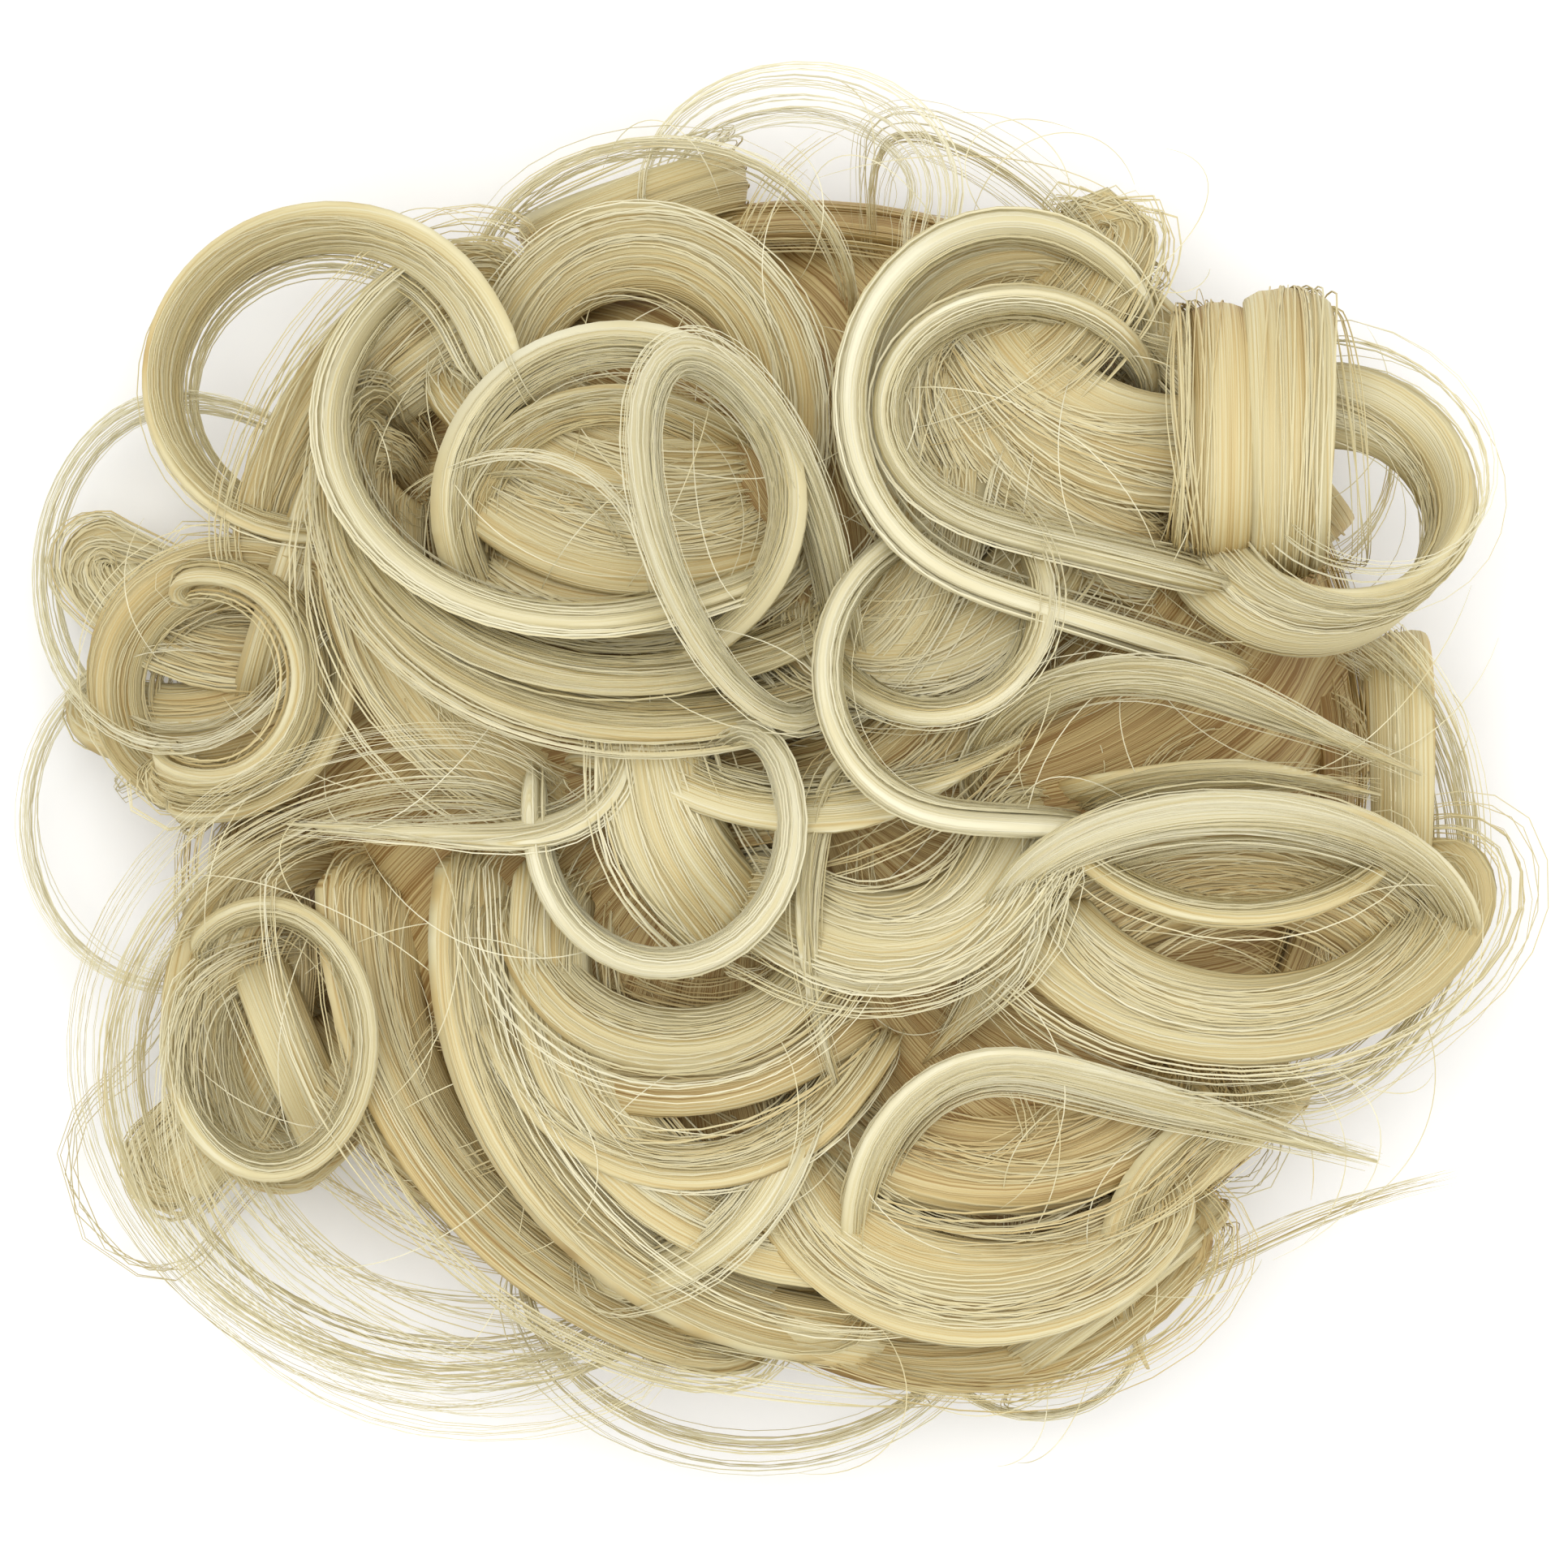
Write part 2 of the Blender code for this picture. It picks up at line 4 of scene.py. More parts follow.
import bpy
import numpy as np
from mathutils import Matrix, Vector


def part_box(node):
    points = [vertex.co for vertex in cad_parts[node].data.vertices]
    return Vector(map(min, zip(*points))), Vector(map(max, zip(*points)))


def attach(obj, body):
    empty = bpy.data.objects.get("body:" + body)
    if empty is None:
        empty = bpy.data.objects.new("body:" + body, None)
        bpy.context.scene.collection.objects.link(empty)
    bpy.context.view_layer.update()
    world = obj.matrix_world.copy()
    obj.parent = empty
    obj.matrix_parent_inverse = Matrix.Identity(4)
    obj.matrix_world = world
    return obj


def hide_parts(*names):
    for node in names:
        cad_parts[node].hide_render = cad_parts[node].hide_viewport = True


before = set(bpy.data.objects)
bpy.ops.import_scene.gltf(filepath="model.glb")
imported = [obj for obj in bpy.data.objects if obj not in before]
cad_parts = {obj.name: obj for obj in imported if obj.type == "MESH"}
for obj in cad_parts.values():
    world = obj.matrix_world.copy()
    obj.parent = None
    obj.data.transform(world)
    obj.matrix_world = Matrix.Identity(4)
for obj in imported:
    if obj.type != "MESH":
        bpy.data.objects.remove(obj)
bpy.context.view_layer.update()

# Packed hair: the mass of heat-set synthetic fibre that all the curls are sewn to. It is wefted hair,
# combed in a slow swirl from the middle to the rim, turned under there and gathered in to the elastic
# band, round a hollow for the wearer's own bun.
BUN_RADIUS = 0.080
BUN_HEIGHT = 0.062
CURL_OVERHANG = 0.016
CURL_DEPTH = 0.021
DOME_REACH = 1.3
MASS_SHARE = 0.94
HOLLOW_HEIGHT = 0.0260
BAND_WIDTH = 0.0070
SEAT_GAP = 0.0003
MASS_COLUMNS = 300
MASS_ROWS = 64
SWIRL_A_METRE = 11.0      # radians that the combing turns for each metre from the middle
RIDGE_HEIGHT = 0.0007
STREAK_MM = 0.22          # across one streak of like fibres
SHEEN_MM = 2.4            # across one broad lighter or darker band
STREAK_STRENGTH = 0.38    # how far a streak moves the tone, and a broad band
SHEEN_STRENGTH = 0.20
MIDDLE_TONE = 0.58
DOME_SHADE_TONE = -0.42         # painted shade: packed hair lies deep, so its colour is darker than the locks', most of all inside
INSIDE_SHADE_TONE = -0.60
INSIDE_CORNER = 17        # the profile's first corner over the band and in the hollow
# Fibre colours along the tone, from deep to pale. The hair's own tones run from gold to pale; the deep end is
# the colour that painted shade of hair lying deep goes to.
FIBRE_DEEP_SHADE = "8C6A34"
FIBRE_GOLD = "C2AB73"
FIBRE_MID = "CFC396"
FIBRE_PALE = "DED8BA"
band_low, band_high = (np.array(corner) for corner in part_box("elastic_band"))
axis_place = np.array([*((band_low + band_high) / 2)[:2], 0.0])
band_outer = (band_high[0] - band_low[0]) / 2
chance = np.random.default_rng(2)


def linear(hex_colour):
    """sRGB hex colour as linear red, green, blue and alpha."""
    parts = np.array([int(hex_colour[i:i + 2], 16) for i in (0, 2, 4)]) / 255
    return (*np.where(parts <= 0.04045, parts / 12.92, ((parts + 0.055) / 1.055) ** 2.4), 1.0)


def add_node(tree, kind, settings, **links):
    """Adds a node, sets its properties or inputs, and links inputs by name, or by number as _0."""
    node = tree.nodes.new(kind)
    for key, value in settings.items():
        if isinstance(key, int) or key in node.inputs:
            node.inputs[key].default_value = value
        else:
            setattr(node, key, value)
    for key, source in links.items():
        tree.links.new(source, node.inputs[int(key[1:]) if key[0] == "_" else key])
    return node


def unit(vectors):
    """The same vectors, each one long."""
    return vectors / np.maximum(np.linalg.norm(vectors, axis=-1, keepdims=True), 1e-9)


def metres_along(points):
    """Distance of each point from the first, along the line through them."""
    return np.concatenate([[0], np.cumsum(np.linalg.norm(np.diff(points, axis=0), axis=1))])


def dome_height(radius):
    """Height of the dome that the curls ride on: one minus the cube of the radius, to the 0.6."""
    share = np.minimum(radius / (DOME_REACH * BUN_RADIUS), 1.0)
    return (BUN_HEIGHT - CURL_DEPTH) * (1.0 - share ** 3) ** 0.6


def mass_height(share):
    """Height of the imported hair: the root of one minus the fourth power of the share of its radius."""
    return (BUN_HEIGHT - CURL_DEPTH) * MASS_SHARE * (1.0 - share ** 4) ** 0.5


def painted_depth_shade(points):
    """Painted shade that depth takes off hair's tone: up to 0.6, 20 mm below the dome, and less near
    the outline, where light comes from the side."""
    radius = np.hypot(points[..., 0], points[..., 1])
    below = 0.6 * np.clip((dome_height(radius) - points[..., 2]) / 0.020, -0.3, 1.0)
    return below * np.clip((1.02 * BUN_RADIUS - radius) / (0.40 * BUN_RADIUS), 0.0, 1.0)


def hair_fibre_material():
    """Heat-set synthetic fibre: satin, of many near tones, with painted shade that makes it golden where it
    lies deep.

    The colour goes from deep to pale with the tone attribute plus streaks and broader bands, which are
    noise stretched along the run coordinates. The streaks are the bump too."""
    made = bpy.data.materials.new("heat_set_fibre")
    made.use_nodes = True
    tree = made.node_tree
    shader = tree.nodes["Principled BSDF"]
    run = add_node(tree, "ShaderNodeUVMap", {"uv_map": "hair_run"}).outputs["UV"]
    tone = add_node(tree, "ShaderNodeAttribute", {"attribute_name": "tone"}).outputs["Fac"]
    fine = add_node(tree, "ShaderNodeMapping", {"Scale": (26.0, 1000 / STREAK_MM, 1.0)}, Vector=run)
    broad = add_node(tree, "ShaderNodeMapping", {"Scale": (9.0, 1000 / SHEEN_MM, 1.0)}, Vector=run)
    streaks = add_node(tree, "ShaderNodeTexNoise", {"Scale": 1.0, "Detail": 1.5, "normalize": False},
                       Vector=fine.outputs["Vector"]).outputs["Fac"]
    bands = add_node(tree, "ShaderNodeTexNoise", {"Scale": 1.0, "Detail": 1.5, "normalize": False},
                     Vector=broad.outputs["Vector"]).outputs["Fac"]
    streaked = add_node(tree, "ShaderNodeMath", {"operation": "MULTIPLY_ADD", 1: STREAK_STRENGTH},
                        _0=streaks, _2=tone).outputs["Value"]
    banded = add_node(tree, "ShaderNodeMath", {"operation": "MULTIPLY_ADD", 1: SHEEN_STRENGTH},
                      _0=bands, _2=streaked).outputs["Value"]
    ramp = add_node(tree, "ShaderNodeValToRGB", {}, Fac=banded)
    stops = ramp.color_ramp.elements
    stops[0].position, stops[0].color = 0.00, linear(FIBRE_DEEP_SHADE)
    stops[1].position, stops[1].color = 1.00, linear(FIBRE_PALE)
    for position, colour in ((0.30, FIBRE_GOLD), (0.60, FIBRE_MID)):
        stops.new(position).color = linear(colour)
    bump = add_node(tree, "ShaderNodeBump", {"Strength": 0.40, "Distance": 0.00025}, Height=streaks)
    tree.links.new(ramp.outputs["Color"], shader.inputs["Base Color"])
    tree.links.new(bump.outputs["Normal"], shader.inputs["Normal"])
    shader.inputs["Roughness"].default_value = 0.60
    shader.inputs["IOR"].default_value = 1.50
    return made


fibre = hair_fibre_material()


def filled_mesh(name, points, quads, triangles, map_name, corner_places):
    """Smooth mesh from arrays of points and faces, with one UV map given corner by corner."""
    corners = np.concatenate([quads.ravel(), triangles.ravel()])
    mesh = bpy.data.meshes.new(name)
    mesh.vertices.add(len(points))
    mesh.vertices.foreach_set("co", (points + axis_place).ravel())
    mesh.loops.add(len(corners))
    mesh.loops.foreach_set("vertex_index", corners)
    mesh.polygons.add(len(quads) + len(triangles))
    mesh.polygons.foreach_set("loop_start", np.concatenate([np.arange(len(quads)) * 4,
                                                            quads.size + np.arange(len(triangles)) * 3]))
    mesh.update(calc_edges=True)
    mesh.shade_smooth()
    mesh.uv_layers.new(name=map_name).data.foreach_set("uv", corner_places.ravel())
    return mesh


def ridden_piece(mesh, material, node):
    """The piece of a mesh: it rides on the bun, takes a slot's finish and stands for a solid."""
    mesh.materials.append(material)
    piece = bpy.data.objects.new(mesh.name, mesh)
    bpy.context.scene.collection.objects.link(piece)
    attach(piece, "root")
    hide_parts(node)
    print(mesh.name, "triangles", sum(len(face.vertices) - 2 for face in mesh.polygons))


def hair_piece(name, blocks):
    """One hair piece from blocks of points, quads, triangles, run coordinates, tones and smoothness.

    All quads come first, then all triangles, so a block's smoothness is given once for each kind."""
    points, quads, triangles, places, tones, smooth = zip(*blocks)
    faces = [len(part) for part in quads + triangles]
    shifts = np.cumsum([0] + [len(part) for part in points[:-1]])
    quads = np.concatenate([part + shift for part, shift in zip(quads, shifts)])
    triangles = np.concatenate([part + shift for part, shift in zip(triangles, shifts)])
    corners = np.concatenate([quads.ravel(), triangles.ravel()])
    mesh = filled_mesh(name, np.concatenate(points), quads, triangles, "hair_run",
                       np.concatenate(places)[corners])
    tone_values = mesh.attributes.new("tone", "FLOAT", "POINT").data
    tone_values.foreach_set("value", MIDDLE_TONE + np.concatenate(tones))
    mesh.polygons.foreach_set("use_smooth", np.repeat(smooth * 2, faces))
    ridden_piece(mesh, fibre, "hair_locks")


def packed_hair_profile():
    """Radius and height down the dome, under the rim, round the seat and up into the hollow."""
    top = BUN_HEIGHT - CURL_DEPTH
    outer = BUN_RADIUS - CURL_OVERHANG
    seat = band_outer + SEAT_GAP
    hollow = band_outer - BAND_WIDTH
    rounding = 0.35 * hollow
    shares = np.array([0.0, 0.10, 0.20, 0.30, 0.41, 0.52, 0.61, 0.70, 0.77, 0.84, 0.89, 0.94])
    dome = np.stack([outer * shares, mass_height(shares)], axis=-1)
    below = np.array([[outer, top * 0.36], [outer * 0.97, top * 0.20], [outer * 0.80, top * 0.10],
                      [seat + 0.0035, top * 0.05], [seat, top * 0.05]])
    inside = np.array([[seat, band_high[2] + SEAT_GAP], [hollow, band_high[2] + SEAT_GAP],
                       [hollow, HOLLOW_HEIGHT - rounding],
                       [hollow - 0.3 * rounding, HOLLOW_HEIGHT - 0.3 * rounding],
                       [hollow - rounding, HOLLOW_HEIGHT], [0.0, HOLLOW_HEIGHT]])
    return np.concatenate([dome, below, inside])


def packed_hair_block():
    """The profile turned round the axis, swirled, and ridged like combed fibre by sums of sines."""
    corners = packed_hair_profile()
    run = metres_along(corners)
    metres = np.linspace(0, run[-1], MASS_ROWS)
    radius = np.maximum(np.interp(metres, run, corners[:, 0]), 0.0004)
    height = np.interp(metres, run, corners[:, 1])
    turn = 2 * math.pi * np.arange(MASS_COLUMNS) / MASS_COLUMNS
    angle = turn + (SWIRL_A_METRE * metres)[:, None]
    slope = unit(np.stack([-np.gradient(height), np.gradient(radius)], axis=-1))
    ridge = sum(np.sin(number * turn + 1.7 * number) for number in (37, 61, 97, 141)) / 4
    clear = np.where((height < 0.0065) & (radius < band_outer + 0.002), 0.0, np.minimum(1.0, radius / 0.02))
    lift = RIDGE_HEIGHT * ridge * clear[:, None]
    out = radius[:, None] - slope[:, :1] * lift
    points = np.stack([out * np.cos(angle), out * np.sin(angle), height[:, None] + slope[:, 1:] * lift],
                      axis=-1)
    here = np.arange(MASS_COLUMNS)
    after = (here + 1) % MASS_COLUMNS
    step = (np.arange(MASS_ROWS - 1) * MASS_COLUMNS)[:, None]
    quads = np.stack([step + here, step + MASS_COLUMNS + here, step + MASS_COLUMNS + after, step + after],
                     axis=-1).reshape(-1, 4)
    fan = np.stack([np.zeros(MASS_COLUMNS - 2, int), here[1:-1], here[2:]], axis=-1)
    ends = np.concatenate([fan, fan[:, ::-1] + (MASS_ROWS - 1) * MASS_COLUMNS])
    place = np.stack([np.broadcast_to(metres[:, None], angle.shape),
                      np.broadcast_to(turn * 0.045, angle.shape)], axis=-1).reshape(-1, 2)
    # painted shade: packed hair is darker than the locks on the dome, and darker still over the band and in
    # the hollow
    tone = np.where(metres > run[INSIDE_CORNER], INSIDE_SHADE_TONE, DOME_SHADE_TONE)
    return points.reshape(-1, 3), quads, ends, place, np.repeat(tone, MASS_COLUMNS), True


hair_piece("packed_hair", [packed_hair_block()])

# Ring at the upper left: one big open lock that crosses over, and the sheet of hair inside it. Each
# lock is a bundle of fibres set in a ring or a wave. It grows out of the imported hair, runs along an
# ellipse as a flat ribbon, and goes back in. Its fibres hang together in wisps that wander a little.
LOCK_WIDTH = 0.0130
LOCK_THICKNESS = 0.0034
FLOOR_GAP = 0.0006
ROOT_OUT = 0.80
ROOT_UP = 0.60
LINK_BEND = 0.45
PATH_STEP = 0.0014
SMOOTHING_PASSES = 20
LINK_PART = 5             # one part in this many of a link is left out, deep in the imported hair
PLACE_STEP = 0.0080       # a lock is made at places this far apart where it is straight,
PLACE_TURN = 0.30         # and closer where it bends, by this many radians a place
LEAST_PLACES = 9
WIDTH_WAVE = 0.08         # share of its width that a lock widens and narrows by
END_WIDTH, END_TAPER = 0.20, 4.0      # share of the width at both ends, and how soon it is whole
TIP_WIDTH, TIP_TAPER = 0.15, 3.0      # and the same at a tip that ends in the air
CORE_WIDTH_SHARE = 0.66   # of the lock's width that its closed core takes, so its edges are thin
CORE_THICKNESS_SHARE = 0.88
CORE_SIDES = 18
CORE_RIDGES = (0.86, 1.04)
# painted shade: the core lies under its fibres, so its colour is a little darker
CORE_SHADE_TONE = -0.07
CORE_FINENESS = 1.6       # places for each place in the core of a lock with all its fibres
PHASES = 4                # fibres bend at places of their own, this many to a place, so no facet shows
STRANDS_A_METRE = 520     # of a lock's width
STRAND_FIBRES = 7
STRAND_SPREAD = 0.00080
PLACE_SPREAD = 0.52       # bell curve of the strands' places, in half widths, and their wander
PLACE_WANDER = 0.30
THIN_LOOSENESS = 1.5      # a lock without a core is spread that much wider, in finer fibres
THIN_FINENESS = 0.7
FIBRE_RADIUS = 0.00011
EDGE_THINNING = 0.3       # what a fibre past the core loses of its radius
FIBRE_CLEARANCE = 0.00003
FIBRE_LIFT = 0.00006      # bell curve of heights on the core, and how much more it is at the edge
EDGE_LIFT = 7.0
STRAND_TONES = 0.09       # furthest that a strand's tone is from its lock's, and a fibre's from that
FIBRE_TONES = 0.03
# painted light: fibres past the core are paler, for light that comes through the loose edge
EDGE_LIGHT_TONE = 0.10
UPPER_LEAN = 0.5          # how far fibres keep to a lock's upper face, from 0 to 1
FLYAWAY_SHARE = 0.05
FLYAWAY_REACH = 0.0022
FLYAWAY_FINENESS = 0.60
# A lock's tone moves its colour towards pale or golden. Thin locks without a core are paler as painted light
# through them; the floors under the arch and eye, the skirt and the back standing curl are darker as painted
# shade.
Lock = namedtuple("Lock", "name x y half_x half_y lean start end tail rise_0 rise_mid rise_1 "
                          "width flat_0 flat_1 tip body tone dome upright", defaults=(1, 0, 1, False))
Laid = namedtuple("Laid", "middle wide thin half_width half_thickness metres")


def link(outside, away):
    """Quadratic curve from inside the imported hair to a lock's end, which it meets along its run."""
    reach = math.hypot(outside[0], outside[1])
    mass_radius = BUN_RADIUS - CURL_OVERHANG
    radius = min(max(reach, band_outer + 0.0035), ROOT_OUT * mass_radius)
    root = np.array([*(outside[:2] * radius / max(reach, 1e-6)),
                     ROOT_UP * mass_height(radius / mass_radius)])
    span = np.linalg.norm(outside - root)
    bend = outside + away * LINK_BEND * span
    t = np.linspace(0, 1, max(4, int(span / PATH_STEP)), endpoint=False)[:, None]
    return root * (1 - t) ** 2 + bend * 2 * t * (1 - t) + outside * t ** 2


def lock_run(lock):
    """Middle line of a lock, its wide and thin directions, and how many points of its links are hidden.

    The line is an ellipse, then a straight tail, on the dome, with a rise that is a quadratic through
    three given rises, and a link at each end that goes in. The wide direction leans from the ring's
    normal towards its outside by the flat angle, which is linear along the ellipse and tail."""
    lean = math.radians(lock.lean)
    along = np.array([math.cos(lean), math.sin(lean), 0.0])
    across = np.array([0.0, 0.0, 1.0]) if lock.upright else np.array([-math.sin(lean), math.cos(lean), 0.0])
    normal = np.cross(along, across)
    sweep = math.radians(lock.end - lock.start)
    half = np.array([lock.half_x, lock.half_y]) * BUN_RADIUS
    arc = abs(sweep) * half.mean()
    length = arc + lock.tail * BUN_RADIUS
    t = np.linspace(0, 1, max(10, int(length / PATH_STEP)))
    angle = (math.radians(lock.start) + sweep * np.minimum(t * length / arc, 1.0))[:, None]
    last = angle[-1, 0]
    ahead = unit(across * half[1] * math.cos(last) - along * half[0] * math.sin(last))
    points = (np.array([lock.x, lock.y, 0.0]) * BUN_RADIUS + along * half[0] * np.cos(angle)
              + across * half[1] * np.sin(angle)
              + math.copysign(1, sweep) * ahead * np.maximum(t * length - arc, 0.0)[:, None])
    rise = (lock.rise_0 * (1 - t) * (1 - 2 * t) + 4 * lock.rise_mid * t * (1 - t)
            + lock.rise_1 * t * (2 * t - 1))
    flat = np.radians(lock.flat_0 + (lock.flat_1 - lock.flat_0) * t)
    tall = LOCK_WIDTH * lock.width * (np.sin(flat) if lock.upright else np.cos(flat))
    dome = lock.dome * dome_height(np.hypot(points[:, 0], points[:, 1]))
    points[:, 2] = np.maximum(points[:, 2] + dome + rise * BUN_HEIGHT,
                              FLOOR_GAP + tall / 2 + LOCK_THICKNESS / 2)
    before = link(points[0], unit(points[0] - points[1]))
    after = link(points[-1], unit(points[-1] - points[-2]))[::-1] if lock.tip == "in" else points[:0]
    flat = np.concatenate([np.full(len(before), flat[0]), flat, np.full(len(after), flat[-1])])[:, None]
    points = np.concatenate([before, points, after])
    for _ in range(SMOOTHING_PASSES):
        points[1:-1] = (points[:-2] + 2 * points[1:-1] + points[2:]) / 4
    run = unit(np.gradient(points, axis=0))
    outward = unit(np.cross(run, normal))
    wide = np.cross(outward, run) * np.cos(flat) + outward * math.copysign(1.0, sweep) * np.sin(flat)
    return points, wide, unit(np.cross(run, wide)), (len(before) // LINK_PART, len(after) // LINK_PART)


def wander(rows, count, turns, amount):
    """For each row the mean of three sine waves along it, with random phases and numbers of turns."""
    t = np.linspace(0, 1, count)
    phase = chance.uniform(0, 2 * math.pi, (rows, 3, 1))
    return amount * np.sin(2 * math.pi * chance.uniform(0.3, turns, (rows, 3, 1)) * t + phase).mean(axis=1)


def laid_lock(lock, fineness):
    """A lock's run at places spread by its length and its bends, with its half width and thickness.

    Fineness is how many places there are for each that the length and bends ask for. The width is
    one sine wave along the lock, and less at both ends. A free lock narrows to its tip. The
    thickness goes with the root of the width."""
    points, wide, thin, hidden = lock_run(lock)
    step = unit(np.diff(points, axis=0))
    turn = np.arccos(np.clip((step[1:] * step[:-1]).sum(axis=1), -1.0, 1.0))
    metres = metres_along(points)
    spread = metres / PLACE_STEP + np.concatenate([[0, 0], np.cumsum(turn)]) / PLACE_TURN
    first, last = spread[hidden[0]], spread[len(points) - 1 - hidden[1]]
    at = np.interp(np.linspace(first, last, max(LEAST_PLACES, int(fineness * (last - first)))), spread, metres)
    middle, wide, thin = (np.stack([np.interp(at, metres, values[:, k]) for k in range(3)], axis=-1)
                          for values in (points, wide, thin))
    share = np.linspace(0, 1, len(at))
    wave = WIDTH_WAVE * np.sin(9.0 * share + 40.0 * lock.x)
    half_width = LOCK_WIDTH * lock.width / 2 * (1.0 + wave)
    half_width *= np.minimum(1.0, END_WIDTH + END_TAPER * np.minimum(share, 1.0 - share))
    if lock.tip == "free":
        half_width *= np.minimum(1.0, TIP_WIDTH + TIP_TAPER * (1.0 - share))
    half_thickness = LOCK_THICKNESS * min(1.0, 0.45 + 0.55 * lock.width) / 2
    half_thickness = half_thickness * (half_width / half_width.max()) ** 0.5
    return Laid(middle, unit(wide), unit(thin), half_width, half_thickness, at)


def tube_block(lines, across, over, ridge, sides, metres, shift, tone):
    """Closed tubes round rows of points, whose sections are ridge times (across cos + over sin).

    The run coordinates are the metres along, and a shift plus the cosine's length. A three-sided tube
    is a fibre, whose flat face is turned up, and it isn't smoothed."""
    rows, count = lines.shape[:2]
    turn = 2 * math.pi * (np.arange(sides) / sides + 1 / 12)
    ring = lines[:, :, None] + ridge * (across[:, :, None] * np.cos(turn)[:, None]
                                        + over[:, :, None] * np.sin(turn)[:, None])
    start = (np.arange(rows) * count * sides)[:, None, None]
    step = (np.arange(count - 1) * sides)[:, None]
    here, after = np.arange(sides), (np.arange(sides) + 1) % sides
    quads = np.stack([start + step + here, start + step + after, start + step + sides + after,
                      start + step + sides + here], axis=-1).reshape(-1, 4)
    fan = np.stack([np.zeros(sides - 2, int), np.arange(1, sides - 1), np.arange(2, sides)], axis=-1)
    ends = np.concatenate([(start + fan[:, ::-1]).reshape(-1, 3),
                           (start + (count - 1) * sides + fan).reshape(-1, 3)])
    size = np.linalg.norm(across, axis=-1)[:, :, None]
    shape = (rows, count, sides)
    place = np.stack([np.broadcast_to(metres, shape[:2])[:, :, None] * np.ones(sides),
                      shift[:, None, None] + size * np.cos(turn)], axis=-1).reshape(-1, 2)
    return ring.reshape(-1, 3), quads, ends, place, np.repeat(tone.reshape(-1), sides), sides > 3


def ridges(rows, count, sides, low, high):
    """Random factor for each side of each tube, which wanders along it a little."""
    each = chance.uniform(low, high, (rows * sides, 1)) + wander(rows * sides, count, 3.0, (high - low) / 2)
    return each.reshape(rows, sides, count).transpose(0, 2, 1)[..., None]


def core_block(lock, laid):
    """Closed and ridged core of a lock, narrower than the lock, and painted a little darker than its fibres as
    shade under them.
    """
    tone = lock.tone + CORE_SHADE_TONE - painted_depth_shade(laid.middle)
    return tube_block(laid.middle[None], (laid.wide * laid.half_width[:, None] * CORE_WIDTH_SHARE)[None],
                      (laid.thin * laid.half_thickness[:, None] * CORE_THICKNESS_SHARE)[None],
                      ridges(1, len(laid.metres), CORE_SIDES, *CORE_RIDGES), CORE_SIDES, laid.metres,
                      chance.uniform(0, 9, 1), tone[None])


def fibre_block(lock, laid, density):
    """Fibres of a lock, as thin tapered tubes in strands of a few.

    The lock comes laid at PHASES times as many places as a fibre has, and each fibre takes places
    of its own from them. A strand's place across the lock is from a bell curve, wanders, and may be
    past the core, so that the lock's edges are loose and light shows through them. On the core a
    fibre lies on the face, whose height is the root of one minus the square of the place. One in
    twenty strays off in the middle of its run."""
    strands = max(3, round(density * STRANDS_A_METRE * LOCK_WIDTH * lock.width))
    rows = strands * STRAND_FIBRES
    count = 1 + (len(laid.metres) - 1) // PHASES
    at = np.clip(PHASES * np.arange(count) + chance.integers(-2, 3, (rows, 1)), 0, len(laid.metres) - 1)
    upper = np.sign(laid.thin[:, 2]).mean()
    laid = Laid(*(values[at] for values in laid))
    loose, fine = (1.0, 1.0) if lock.body else (THIN_LOOSENESS, THIN_FINENESS)
    t = np.linspace(0, 1, count)
    place = loose * (chance.normal(0, PLACE_SPREAD, (strands, 1))
                     + wander(strands, count, 1.6, PLACE_WANDER))
    face = np.sign(chance.uniform(-1, 1, (strands, 1)) + UPPER_LEAN * upper)
    if not lock.body:
        face = face * chance.uniform(-0.6, 1.0, (strands, 1))
    place, face = np.repeat(place, STRAND_FIBRES, axis=0), np.repeat(face, STRAND_FIBRES, axis=0)
    flyaway = chance.uniform(0, 1, (rows, 1)) < FLYAWAY_SHARE
    stray = (flyaway * chance.normal(0, FLYAWAY_REACH, (2, rows, 1))
             * np.sin(math.pi * np.clip(t * chance.uniform(0.7, 1.3, (rows, 1)), 0, 1)) ** 1.5)
    side = (place * laid.half_width + chance.normal(0, STRAND_SPREAD, (rows, 1))
            + wander(rows, count, 2.0, STRAND_SPREAD) + stray[0])
    past = np.minimum(np.abs(side) / laid.half_width, 1.0)
    top = (face * laid.half_thickness * np.sqrt(1.0 - past ** 2) + face * FIBRE_CLEARANCE
           + chance.normal(0, FIBRE_LIFT, (rows, 1)) * (1.0 + EDGE_LIFT * past)
           + np.abs(stray[1]) * face * 0.7)
    lines = laid.middle + laid.wide * side[..., None] + laid.thin * top[..., None]
    lines[..., 2] = np.maximum(lines[..., 2], FLOOR_GAP)
    slim = np.where(flyaway, FLYAWAY_FINENESS, fine - EDGE_THINNING * (past >= 1.0))
    taper = np.minimum(1.0, 0.3 + 6.0 * np.minimum(t, 1 - t))
    thick = (FIBRE_RADIUS * chance.uniform(0.7, 1.25, (rows, 1)) * slim * taper)[..., None]
    run = unit(np.gradient(lines, axis=1))
    over = unit(np.cross(run, laid.wide)) * np.sign(face)[..., None]
    strand_tone = chance.uniform(-STRAND_TONES, STRAND_TONES, (strands, 1))
    # the lock's, strand's and fibre's random tones, with painted light at the loose edge and painted shade
    # with depth
    tone = (lock.tone + np.repeat(strand_tone, STRAND_FIBRES, axis=0)
            + chance.uniform(-FIBRE_TONES, FIBRE_TONES, (rows, 1)) + EDGE_LIGHT_TONE * past - painted_depth_shade(lines))
    return tube_block(lines, np.cross(over, run) * thick, over * thick, 1.0, 3, laid.metres,
                      chance.uniform(0, 9, rows), tone)


